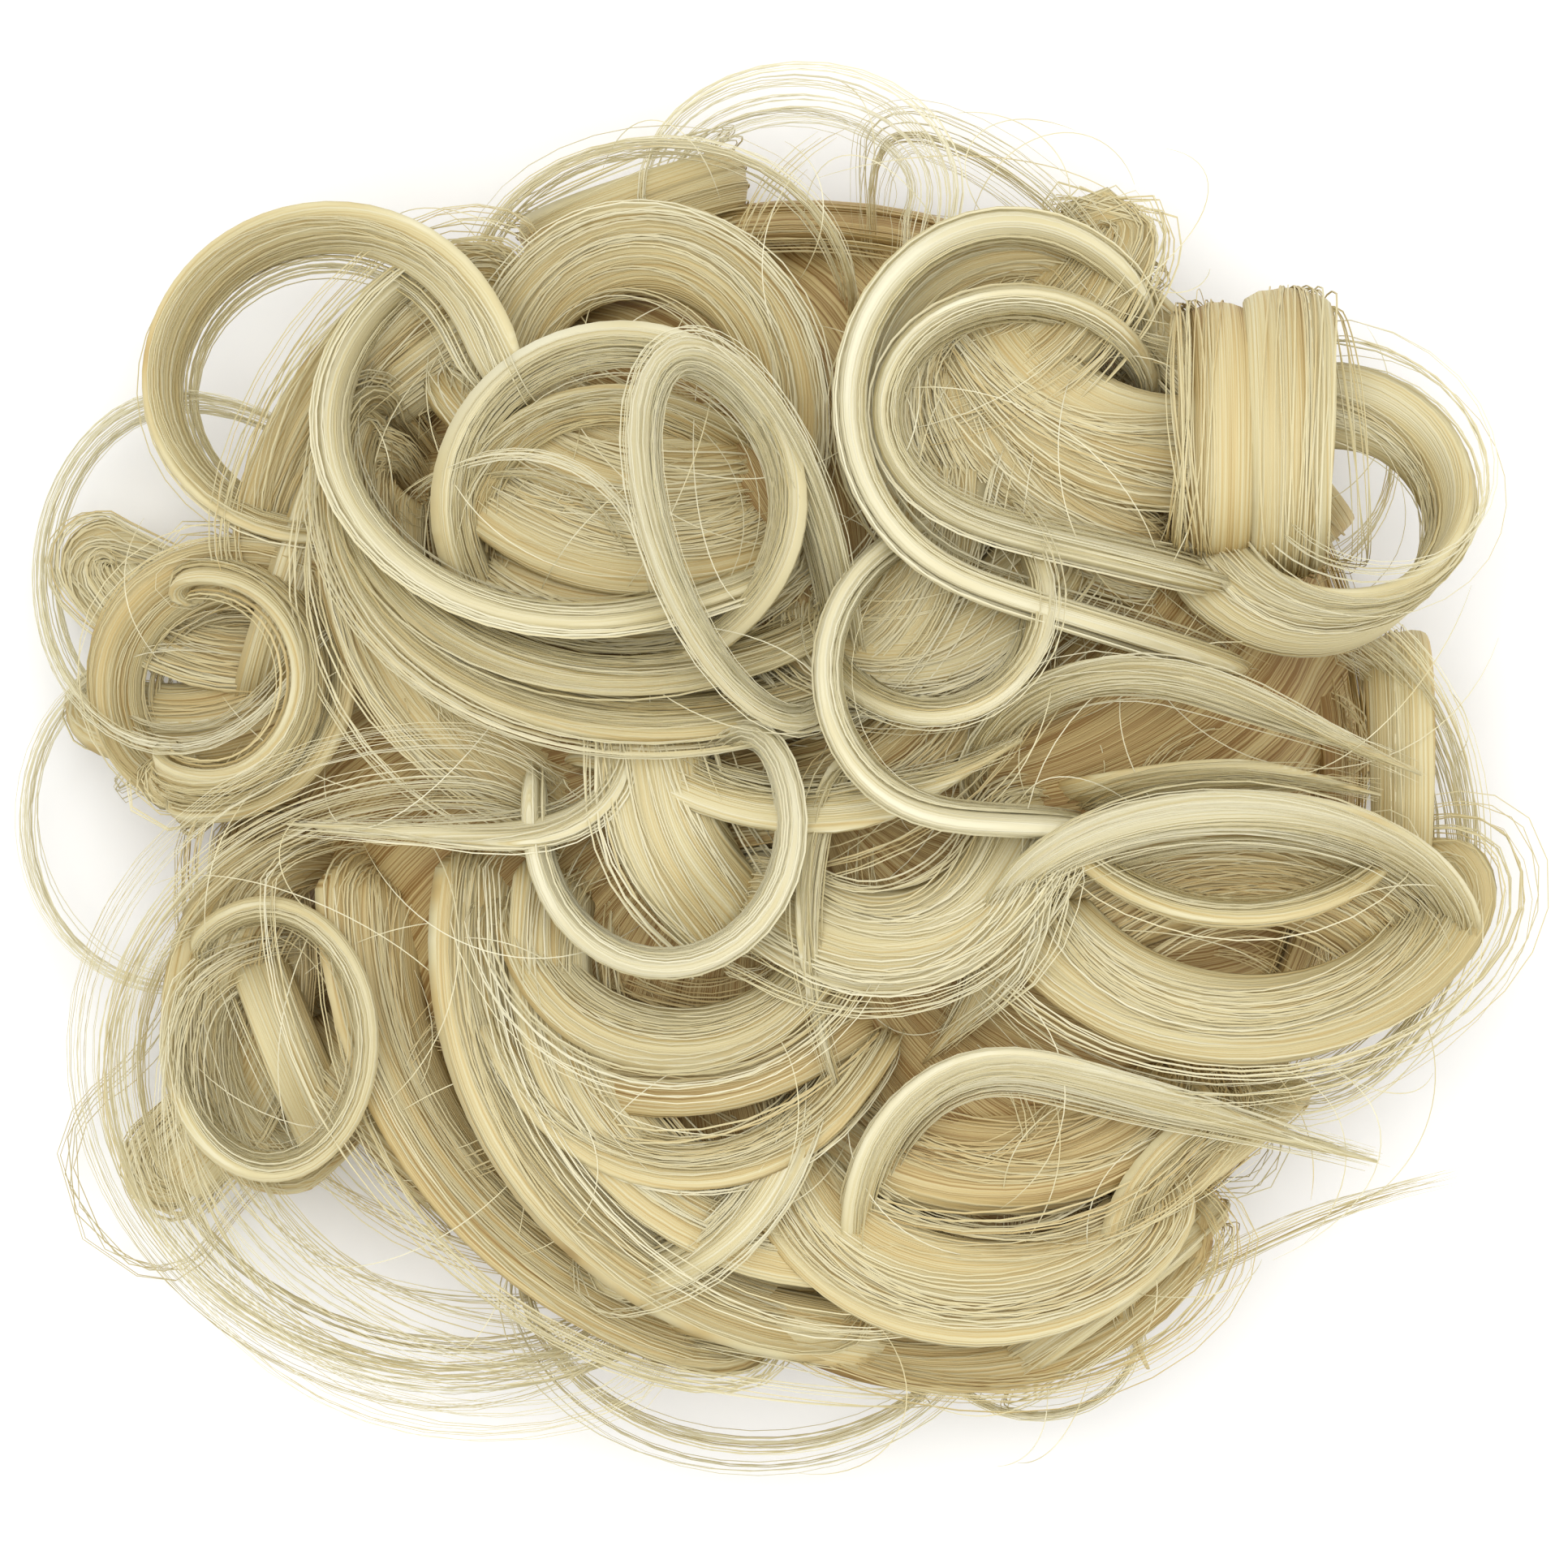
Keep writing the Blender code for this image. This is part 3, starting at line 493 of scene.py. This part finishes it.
def curl_group(name, rows, density=1.0):
    """A piece made of the locks in a table: the fibres of each, and its core if it has a body.

    Density is the share of a top lock's fibres that these have. Below one, the cores are plainer."""
    fineness = CORE_FINENESS if density == 1.0 else 1.0
    blocks = []
    for row in rows:
        lock = Lock(*row)
        if lock.body:
            blocks.append(core_block(lock, laid_lock(lock, fineness)))
        blocks.append(fibre_block(lock, laid_lock(lock, PHASES), density))
    hair_piece(name, blocks)


def lining(x, y, lean, rise, radius=0.34, width=1.5, tone=0.02):
    """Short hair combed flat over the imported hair: a shallow arc through a place, in a direction."""
    turn = math.radians(lean)
    return ("lining", x - radius * math.sin(turn), y + radius * math.cos(turn), radius, radius, lean,
            235, 305, 0, rise, rise + 0.02, rise, width, 78, 78, "in", 1, tone)


curl_group("upper_left_ring", (
    ("ring_upper_left", -0.70, 0.56, 0.245, 0.225, 0, -70, -345, 0, -0.10, 0.02, 0.14, 1.0, 8, 50, "in",
     1, 0.05),
    ("sheet_upper_left", -0.20, 0.20, 0.60, 0.60, 0, 168, 122, 0, -0.10, -0.06, -0.04, 1.2, 60, 70, "in"),
))

# Long U-shaped locks that hang in parallel from the upper left to the middle, wefted side by side, so
# that each lies over the edge of the next.
curl_group("u_locks", (
    ("long_u", -0.33, 0.50, 0.36, 0.29, 0, 135, 292, 0.12, -0.02, 0.12, 0.02, 0.9, 10, 12, "in", 1, 0.15),
    ("middle_u", -0.27, 0.45, 0.40, 0.32, 0, 175, 292, 0.10, -0.04, 0.07, 0.00, 0.8, 35, 35, "in"),
    ("lower_u", -0.22, 0.42, 0.45, 0.35, 0, 165, 290, 0.12, -0.06, 0.05, -0.02, 1.0, 35, 40, "in"),
    ("left_sheet", -0.20, 0.36, 0.44, 0.43, 0, 172, 250, 0, -0.08, -0.03, -0.05, 1.5, 75, 75, "in"),
))

# The ring left of the middle with the strands that line it, and the teardrop loop that crosses it.
# Both are single locks, set round a rod and pinned down by their own roots.
curl_group("centre_rings", (
    ("ring_centre", -0.27, 0.38, 0.245, 0.235, 0, 215, -60, 0, -0.06, 0.14, 0.02, 1.0, 42, 15, "in",
     1, 0.05),
    ("ring_centre_inner", -0.28, 0.33, 0.22, 0.20, 0, 190, 50, 0, -0.06, 0.03, -0.04, 0.8, 50, 40, "in"),
    ("thin_centre", -0.42, 0.28, 0.18, 0.17, 0, 125, 5, 0, 0.00, 0.10, 0.00, 0.5, 15, 15, "in", 0, 0.1),
    ("teardrop", -0.10, 0.33, 0.120, 0.280, 19, 282, -35, 0, 0.06, 0.25, 0.00, 0.9, 8, 28, "in", 1, 0.15),
    lining(-0.32, 0.45, -20, -0.05),
    lining(-0.30, 0.33, -12, -0.04),
    lining(-0.24, 0.24, 5, -0.05),
))

# Arches at the top: a wide sheet of hair, a thin arch past it and a pale loop that stands clear, so
# thin that the light comes through it.
curl_group("top_arches", (
    ("top_sheet", -0.24, 0.52, 0.21, 0.235, 0, 185, -20, 0, -0.10, 0.02, -0.05, 1.3, 70, 60, "in"),
    ("thin_top_arch", -0.22, 0.68, 0.275, 0.225, 0, 170, 10, 0, -0.14, -0.02, -0.10, 0.6, 20, 20, "in",
     0, 0.2),
    ("top_loop", -0.02, 0.83, 0.22, 0.165, 0, 200, -25, 0, -0.12, -0.03, -0.08, 0.8, 22, 30, "in", 0, 0.3),
    ("top_right_strands", 0.00, 0.46, 0.50, 0.50, 0, 72, 22, 0, -0.14, -0.08, -0.10, 0.6, 25, 25, "in",
     0, 0.2),
))

# The double ring at the upper right: two locks set round one rod, which run on in parallel to the
# right, with a fine sheet and short combed hair inside them.
curl_group("double_ring", (
    ("double_ring_outer", 0.29, 0.52, 0.240, 0.265, 0, 35, 255, 0.36, -0.08, 0.17, 0.00, 0.9, 10, 12, "in",
     1, 0.15),
    ("double_ring_inner", 0.30, 0.51, 0.205, 0.170, 0, 25, 255, 0.30, -0.08, 0.12, 0.02, 0.8, 12, 20, "in",
     1, 0.1),
    ("double_ring_sheet", 0.31, 0.52, 0.21, 0.21, 0, 70, 235, 0, -0.10, 0.00, -0.06, 1.3, 70, 70, "in"),
    lining(0.30, 0.60, 35, -0.07),
    lining(0.36, 0.50, -30, -0.05),
    lining(0.30, 0.42, -50, -0.06),
))

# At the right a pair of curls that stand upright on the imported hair, and a broad crescent that rolls
# round beside them.
curl_group("right_curls", (
    ("crescent_right", 0.73, 0.37, 0.195, 0.165, 0, 200, 450, 0, -0.06, 0.08, 0.00, 1.3, -95, 88, "in",
     1, 0.1),
    ("standing_curl", 0.68, 0.49, 0.20, 0.18, 90, 205, -75, 0, -0.08, -0.06, -0.08, 1.15, 0, 0, "free",
     1, -0.05, 1, True),
    ("standing_curl_back", 0.59, 0.49, 0.18, 0.15, 90, 205, -75, 0, -0.08, -0.06, -0.08, 1.0, 0, 0, "free",
     1, -0.2, 1, True),
))

# The small ring right of the middle and the C-shaped lock round it, the highest of the curls, set on
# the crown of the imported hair.
curl_group("small_ring", (
    ("small_ring_tail", 0.20, 0.14, 0.19, 0.21, 0, 105, 268, 0.14, 0.00, 0.25, 0.10, 0.8, 8, 8, "in",
     1, 0.15),
    ("small_ring", 0.17, 0.235, 0.165, 0.165, 0, 220, 400, 0, 0.04, 0.16, -0.04, 0.9, 12, 12, "in"),
    lining(0.15, 0.26, 60, -0.01, 0.25, 1.4),
    lining(0.20, 0.19, 20, 0.00, 0.25, 1.4),
))

# Waves that run from the middle to the right edge, round an eye-shaped hollow, over a broad sheet of
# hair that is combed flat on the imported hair.
curl_group("right_waves", (
    ("wave_right", 0.45, -0.01, 0.22, 0.155, 0, 172, 60, 0.34, -0.04, 0.15, 0.00, 0.9, 28, 30, "free"),
    ("straight_right", 0.60, -0.70, 0.70, 0.70, 0, 106, 72, 0, 0.00, 0.05, -0.02, 0.6, 40, 40, "free"),
    ("eye_upper", 0.60, -0.25, 0.345, 0.195, 0, 165, 8, 0, 0.00, 0.14, -0.04, 1.0, 28, 30, "in", 1, 0.1),
    ("eye_lower", 0.61, -0.05, 0.25, 0.16, 0, 210, 330, 0, 0.04, 0.08, 0.00, 0.6, 20, 20, "in"),
    ("eye_floor", 0.60, -0.50, 0.35, 0.36, 0, 130, 50, 0, -0.06, -0.06, -0.08, 1.3, 85, 85, "in", 1, -0.1),
    ("sheet_right", 0.62, -0.12, 0.32, 0.24, 0, 205, 338, 0, 0.00, 0.04, -0.04, 1.4, 72, 65, "in"),
    ("outer_right", 0.68, -0.12, 0.285, 0.355, 0, 68, -80, 0, -0.08, -0.08, -0.12, 1.2, 30, 35, "in",
     0, 0.2),
))

# The arch at the lower right over a cup of strands, with a band at its side and thin wisps that stray
# past the outline. The arch, the band and one wisp end in the air.
curl_group("lower_right_locks", (
    ("arch_lower_right", 0.27, -0.66, 0.21, 0.25, 0, 198, 76, 0.52, -0.10, 0.10, -0.08, 0.9, 22, 35, "free",
     1, 0.15),
    ("arch_floor", 0.27, -0.42, 0.25, 0.14, 0, 185, 345, 0, -0.08, -0.08, -0.10, 1.5, 80, 80, "in",
     1, -0.1),
    ("cup_lower_right", 0.25, -0.53, 0.29, 0.22, 0, 190, 325, 0, -0.02, 0.00, -0.06, 1.5, 75, 75, "in"),
    ("skirt_lower_right", 0.20, -0.52, 0.38, 0.31, 0, 200, 325, 0, -0.16, -0.14, -0.16, 1.5, 60, 60, "in",
     1, -0.08),
    ("band_lower_right", 0.63, -0.72, 0.19, 0.22, 0, 108, 222, 0, -0.06, -0.08, -0.12, 1.1, 40, 45, "free"),
    ("wisp_right", 1.15, -1.768, 1.20, 1.20, 20, 102, 80, 0, -0.14, -0.12, -0.06, 0.35, 20, 20, "free", 0),
    ("wisp_bottom", 0.33, -0.84, 0.16, 0.12, 0, 215, 350, 0, -0.20, -0.16, -0.16, 0.35, 20, 20, "in",
     0, 0.2),
    ("bottom_loop", -0.08, -0.70, 0.36, 0.30, 0, 195, 335, 0, -0.16, -0.16, -0.18, 0.6, 30, 30, "in",
     0, 0.2),
))

# The fan that sweeps from the left down to the bottom, in three wide locks wefted one outside the
# other, with swirled strands on it.
curl_group("lower_fan", (
    ("fan_inner", 0.05, -0.25, 0.43, 0.43, 0, 170, 282, 0, 0.00, 0.02, -0.06, 1.3, 68, 70, "in"),
    ("fan_middle", 0.10, -0.25, 0.58, 0.55, 0, 170, 262, 0, -0.04, 0.00, -0.10, 1.4, 68, 60, "in"),
    ("fan_outer", 0.00, -0.20, 0.64, 0.63, 0, 178, 258, 0, -0.08, -0.08, -0.14, 1.4, 65, 55, "in"),
    ("swirl_upper", -0.19, -0.20, 0.22, 0.19, 0, 190, 345, 0, 0.00, 0.05, 0.02, 1.0, 50, 50, "in"),
    ("swirl_lower", -0.17, -0.30, 0.27, 0.27, 0, 200, 335, 0, 0.02, 0.04, 0.00, 0.9, 50, 50, "in"),
    ("light_band", -0.35, -0.45, 0.33, 0.29, 0, -12, -75, 0, 0.02, 0.06, -0.04, 0.8, 50, 55, "in", 1, 0.1),
))

# Rings at the left, from the low one with a sheet of hair inside and a veil of loose hair round it, to
# the thin loops that stand far out, a few fibres each.
curl_group("left_rings", (
    ("ring_lower_left", -0.78, -0.385, 0.155, 0.20, 0, 130, -195, 0, -0.08, 0.02, -0.10, 0.7, 8, 12, "in",
     1, 0.1),
    ("sheet_lower_left", -0.42, -0.35, 0.46, 0.36, 0, 152, 210, 0, -0.10, -0.14, -0.20, 1.3, 75, 70, "in"),
    ("outer_lower_left", -0.52, -0.45, 0.46, 0.39, 0, 80, 290, 0, 0.00, -0.12, -0.18, 1.1, 50, 30, "in",
     0, 0.1),
    ("veil_lower_left", -0.40, -0.38, 0.44, 0.40, 0, 180, 285, 0, -0.12, -0.16, -0.20, 1.7, 65, 55, "in",
     0, 0.15),
    ("left_band", -0.40, -0.02, 0.12, 0.075, 0, -10, -95, 0.34, 0.10, 0.10, 0.02, 0.6, 25, 30, "free",
     1, 0.1),
    ("ring_left", -0.86, 0.13, 0.155, 0.165, 0, 100, -115, 0, -0.06, 0.00, -0.06, 1.1, -18, -28, "in"),
    ("ring_left_outer", -0.86, 0.14, 0.20, 0.20, 0, 45, -100, 0, -0.08, -0.04, -0.10, 0.8, 20, 20, "in"),
    ("ring_left_top", -0.82, 0.12, 0.20, 0.18, 0, 55, 200, 0, -0.08, -0.10, -0.14, 1.0, 60, 50, "in"),
    ("pale_loop_left", -0.92, 0.29, 0.205, 0.25, 0, 82, 335, 0, -0.16, -0.12, -0.06, 0.7, 12, 15, "in",
     0, 0.3),
    ("thin_loop_left", -0.95, -0.07, 0.20, 0.235, 0, 112, 250, 0, -0.18, -0.18, -0.18, 0.4, 15, 15, "in",
     0, 0.3),
    lining(-0.88, 0.17, -15, -0.22, 0.30, 1.2, 0.05),
    lining(-0.84, 0.07, 15, -0.22, 0.30, 1.2, 0.05),
    lining(-0.80, -0.36, 75, -0.22, 0.40, 1.4, 0.0),
))

# The small U in front of the middle, and the short locks between it and the knot at its right, where
# many roots are sewn down together.
curl_group("middle_locks", (
    ("small_u", -0.21, -0.08, 0.19, 0.205, 0, 172, 378, 0, 0.06, 0.17, 0.14, 0.7, 8, 8, "in", 1, 0.2),
    ("wide_in_small_u", 0.10, 0.00, 0.33, 0.28, 0, 175, 228, 0, 0.06, 0.09, 0.02, 1.5, 75, 75, "in"),
    ("plumb_strand", 0.60, -0.22, 0.61, 0.60, 0, 163, 202, 0, 0.08, 0.10, 0.02, 0.6, 30, 30, "free"),
    ("crescent_below_hub", 0.10, -0.05, 0.20, 0.20, 0, 225, 345, 0, 0.04, 0.07, 0.04, 1.4, 70, 70, "in"),
    ("ribs_below_knot", -0.05, -0.15, 0.34, 0.34, 0, 0, -52, 0, 0.04, 0.02, -0.04, 1.2, 60, 60, "free"),
    lining(-0.14, -0.42, 8, -0.03, 0.34, 1.5, -0.20),
    lining(0.12, 0.02, 35, -0.01, 0.30, 1.3, -0.20),
    ("hub_strands", 0.00, 0.30, 0.40, 0.36, 0, 235, 302, 0.10, 0.04, 0.10, 0.06, 0.8, 45, 45, "free"),
))

# Round the side, upright rings, and locks laid round the foot. Below, locks sweep out from the band.
# The photograph looks past them, so they are plain and evenly spread.
SIDE_SHARE = 0.80         # of a top lock's fibres that the rings round the side have, and the rest
HIDDEN_SHARE = 0.14
SIDE_CURLS = 11
WRAP_LOCKS = 7
FOOT_LOCKS = 16


def side_curl(index):
    """Upright ring on the side: bearing, size and facing drift with sines of its number."""
    bearing = 360.0 * (index + 0.35 * math.sin(2.4 * index)) / SIDE_CURLS
    size = 0.17 + 0.03 * math.sin(1.7 * index)
    away = 0.81 + 0.04 * math.cos(2.1 * index)
    facing = bearing + 90.0 + 22.0 * math.sin(3.1 * index)
    return ("side", away * math.cos(math.radians(bearing)), away * math.sin(math.radians(bearing)),
            size * 1.15, size, facing, 215, -70, 0, 0.24, 0.26, 0.24, 0.9, 10, 20, "in", 1, 0.1, 0, True)


def wrap_lock(index):
    """Lock laid round the foot: a part of a turn whose height and reach drift with its number."""
    start = 360.0 * index / WRAP_LOCKS + 17.0 * math.sin(2.0 * index)
    away = 0.79 + 0.04 * math.sin(2.7 * index)
    middle = 0.22 + 0.09 * math.sin(1.3 * index)
    return ("wrap", 0.0, 0.0, away, away, 0, start, start + 78.0, 0, 0.10, middle, 0.16, 1.1, -25, -25,
            "in", 1, 0, 0)


def foot_lock(index):
    """Lock that sweeps out below: half an ellipse from beside the band to the rim."""
    bearing = 360.0 * index / FOOT_LOCKS
    reach = 0.18 + 0.02 * math.sin(2.3 * index)
    away = 0.42 + reach
    return ("foot", away * math.cos(math.radians(bearing)), away * math.sin(math.radians(bearing)),
            reach, 0.6 * reach, bearing, 180, 15, 0, 0.06, 0.08 + 0.02 * math.cos(1.9 * index), 0.22,
            1.2, 75, 30, "in", 1, 0.2, 0)


curl_group("side_curls", [side_curl(index) for index in range(SIDE_CURLS)], SIDE_SHARE)
curl_group("wrap_locks", [wrap_lock(index) for index in range(WRAP_LOCKS)], HIDDEN_SHARE)
curl_group("foot_locks", [foot_lock(index) for index in range(FOOT_LOCKS)], HIDDEN_SHARE)

# Loose fibres: tufts of near-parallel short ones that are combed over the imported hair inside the
# rings, and single strays that arch over the bun and past its outline. Only the hair round them holds
# them.
LOOSE_RADIUS = 0.00007
TUFTS = 60
TUFT_FIBRES = 10
STRAYS = 110


def loose_block(tufts, fibres, places, away_share, half_share, turns, lift, gap, tone):
    """Thin arcs of random ellipses that follow the dome, lifted in their middles, in near-parallel tufts.

    The shares are the furthest middle and half length, of the bun's radius. turns are the least and
    most radians of an arc, lift the least and most height above the dome at the ends and in the
    middle, and gap the spread of a tuft."""
    def each(low, high, *more):
        """Random numbers, one for each tuft, plus a gap's share for each of its fibres."""
        return np.repeat(chance.uniform(low, high, (tufts, *more)), fibres, axis=0)
    rows = tufts * fibres
    t = np.linspace(0, 1, places)
    bearing = each(0, 2 * math.pi, 1)
    away = BUN_RADIUS * away_share * np.sqrt(each(0.0, 1.0, 1))
    room = np.minimum(half_share * BUN_RADIUS, 1.08 * BUN_RADIUS - away)
    half = room[:, None] * each(0.30, 1.0, 2, 1) + chance.normal(0, gap, (rows, 2, 1))
    lean = each(0, 2 * math.pi, 1) + chance.normal(0, 0.05, (rows, 1))
    angle = each(0, 2 * math.pi, 1) + chance.normal(0, 0.15, (rows, 1)) + t * each(*turns, 1)
    side, up = half[:, 0] * np.cos(angle), half[:, 1] * np.sin(angle)
    x = away * np.cos(bearing) + side * np.cos(lean) - up * np.sin(lean)
    y = away * np.sin(bearing) + side * np.sin(lean) + up * np.cos(lean)
    over_dome = lift[0] + each(0, 1, 1) * (lift[1] - lift[0]) * np.sin(math.pi * t)
    over_dome = over_dome + chance.normal(0, gap / 2, (rows, 1))
    z = np.maximum(dome_height(np.hypot(x, y)) + over_dome, FLOOR_GAP)
    lines = np.stack([x, y, z], axis=-1)
    run = unit(np.gradient(lines, axis=1))
    across = unit(np.cross(np.array([0.0, 0.0, 1.0]), run))
    thick = (LOOSE_RADIUS * np.minimum(1.0, 0.3 + 5.0 * np.minimum(t, 1 - t)))[None, :, None]
    return tube_block(lines, across * thick, np.cross(run, across) * thick, 1.0, 3, t * 0.1,
                      chance.uniform(0, 9, rows),
                      tone + chance.uniform(-0.1, 0.1, (rows, 1)) - painted_depth_shade(lines))


hair_piece("loose_fibres", [
    loose_block(TUFTS, TUFT_FIBRES, places=10, away_share=0.80, half_share=0.30, turns=(0.5, 1.6),
                lift=(-0.009, 0.000), gap=0.0012, tone=0.05),
    loose_block(STRAYS, 1, places=24, away_share=0.92, half_share=0.34, turns=(1.0, 3.0),
                lift=(-0.004, 0.010), gap=0.0, tone=0.20)])

# Elastic band: a ribbed knitted sleeve of polyester drawn over a round elastic, so it lies in small
# gathers. The hair is sewn to it, and it shows from below only.
SLEEVE_COLUMNS = 360
SLEEVE_SIDES = 24
GATHER_HEIGHT = 0.00016
KNIT_MM = 0.7
WAVE_SCALE = 2 * math.pi / 20 * 1000 / KNIT_MM      # a wave texture turns 20 radians a metre at one
SLEEVE_LIGHT = "C9AF7C"
SLEEVE_SHADE = "A98D5B"


def band_fabric_material():
    """Rib-knitted polyester sleeve: matt, with rows of stitches across and along the run coordinates,
    and painted shade in the grooves between them.
    """
    made = bpy.data.materials.new("rib_knit_sleeve")
    made.use_nodes = True
    tree = made.node_tree
    shader = tree.nodes["Principled BSDF"]
    run = add_node(tree, "ShaderNodeUVMap", {"uv_map": "band_run"}).outputs["UV"]
    ribs, rows = (add_node(tree, "ShaderNodeTexWave", {"bands_direction": direction, "Scale": WAVE_SCALE,
                                                       "Distortion": 0.5}, Vector=run).outputs["Fac"]
                  for direction in ("X", "Y"))
    knit = add_node(tree, "ShaderNodeMath", {"operation": "MULTIPLY"}, _0=ribs, _1=rows).outputs["Value"]
    ramp = add_node(tree, "ShaderNodeValToRGB", {}, Fac=knit)
    ramp.color_ramp.elements[0].color = linear(SLEEVE_SHADE)
    ramp.color_ramp.elements[1].color = linear(SLEEVE_LIGHT)
    bump = add_node(tree, "ShaderNodeBump", {"Strength": 0.6, "Distance": 0.0003}, Height=knit)
    tree.links.new(ramp.outputs["Color"], shader.inputs["Base Color"])
    tree.links.new(bump.outputs["Normal"], shader.inputs["Normal"])
    shader.inputs["Roughness"].default_value = 0.85
    shader.inputs["Sheen Weight"].default_value = 0.2
    return made


def sleeve_mesh():
    """Ring whose section is a superellipse of the third power, gathered by sums of sines round it."""
    turn = (2 * math.pi * np.arange(SLEEVE_COLUMNS) / SLEEVE_COLUMNS)[:, None]
    around = 2 * math.pi * np.arange(SLEEVE_SIDES) / SLEEVE_SIDES
    bulge_out, bulge_up = (np.sign(wave) * np.abs(wave) ** (2 / 3) for wave in
                           (np.cos(around), np.sin(around)))
    gather = GATHER_HEIGHT * (sum(np.sin(number * turn + number) for number in (53, 71, 89)) / 3 - 1)
    out = band_outer - BAND_WIDTH / 2 + bulge_out * (BAND_WIDTH / 2 + gather)
    up = band_high[2] / 2 + bulge_up * (band_high[2] / 2 + gather)
    points = np.stack([out * np.cos(turn), out * np.sin(turn), up], axis=-1).reshape(-1, 3)
    column = np.arange(SLEEVE_COLUMNS)[:, None, None] + np.array([0, 1, 1, 0])
    side = np.arange(SLEEVE_SIDES)[:, None] + np.array([0, 0, 1, 1])
    quads = (column % SLEEVE_COLUMNS) * SLEEVE_SIDES + side % SLEEVE_SIDES
    length = 2 * math.pi * (band_outer - BAND_WIDTH / 2)
    girth = 2 * (BAND_WIDTH + band_high[2])
    places = np.stack(np.broadcast_arrays(column * length / SLEEVE_COLUMNS, side * girth / SLEEVE_SIDES),
                      axis=-1)
    return filled_mesh("elastic_sleeve", points, quads.reshape(-1, 4), np.zeros((0, 3), int), "band_run",
                       places)


ridden_piece(sleeve_mesh(), band_fabric_material(), "elastic_band")

# The photograph's setting: the bun lies on white card and is seen from straight above. Light comes
# from all round, from a bright white room and two big soft boxes, so there is hardly a shadow.
PHOTO_WIDTH_PX = 1932
BUN_RADIUS_PX = 860
AXIS_PX = (1000, 950)
CAMERA_HEIGHT = 1.10
SHARP_HEIGHT = 0.035
SENSOR_MM = 36.0
CARD_WHITE = "F9F9F8"
CARD_HALF = 1.6


def soft_box(name, place, size, watts):
    """Square area lamp that faces the bun."""
    lamp = bpy.data.lights.new(name, "AREA")
    lamp.shape = "SQUARE"
    lamp.size = size
    lamp.energy = watts
    holder = bpy.data.objects.new(name, lamp)
    holder.location = place
    aim = np.array([0.0, 0.0, SHARP_HEIGHT]) - np.array(place)
    holder.rotation_euler = (math.atan2(math.hypot(aim[0], aim[1]), -aim[2]), 0.0,
                             math.atan2(aim[1], aim[0]) - math.pi / 2)
    bpy.context.scene.collection.objects.link(holder)


camera = bpy.data.objects.new("camera", bpy.data.cameras.new("camera"))
px = BUN_RADIUS / BUN_RADIUS_PX
camera.data.sensor_width = SENSOR_MM
camera.data.lens = SENSOR_MM * (CAMERA_HEIGHT - SHARP_HEIGHT) / (PHOTO_WIDTH_PX * px)
camera.location = (axis_place[0] + (PHOTO_WIDTH_PX / 2 - AXIS_PX[0]) * px,
                   axis_place[1] - (PHOTO_WIDTH_PX / 2 - AXIS_PX[1]) * px, CAMERA_HEIGHT)
bpy.context.scene.collection.objects.link(camera)
bpy.context.scene.camera = camera

card_mesh = bpy.data.meshes.new("white_card")
card_mesh.from_pydata([(-CARD_HALF, -CARD_HALF, 0.0), (CARD_HALF, -CARD_HALF, 0.0),
                       (CARD_HALF, CARD_HALF, 0.0), (-CARD_HALF, CARD_HALF, 0.0)], [], [(0, 1, 2, 3)])
card_white = bpy.data.materials.new("white_card")
card_white.use_nodes = True
card_white.node_tree.nodes["Principled BSDF"].inputs["Base Color"].default_value = linear(CARD_WHITE)
card_white.node_tree.nodes["Principled BSDF"].inputs["Roughness"].default_value = 0.9
card_mesh.materials.append(card_white)
card = bpy.data.objects.new("white_card", card_mesh)
bpy.context.scene.collection.objects.link(card)

world = bpy.data.worlds.new("white_room")
world.use_nodes = True
world.node_tree.nodes["Background"].inputs["Color"].default_value = (1.0, 1.0, 1.0, 1.0)
world.node_tree.nodes["Background"].inputs["Strength"].default_value = 0.97
bpy.context.scene.world = world
bpy.context.scene.view_settings.view_transform = "Standard"
soft_box("top_box", (-0.15, 0.20, 1.30), 0.9, 8.0)
soft_box("side_box", (0.9, -0.5, 0.9), 0.6, 2.5)
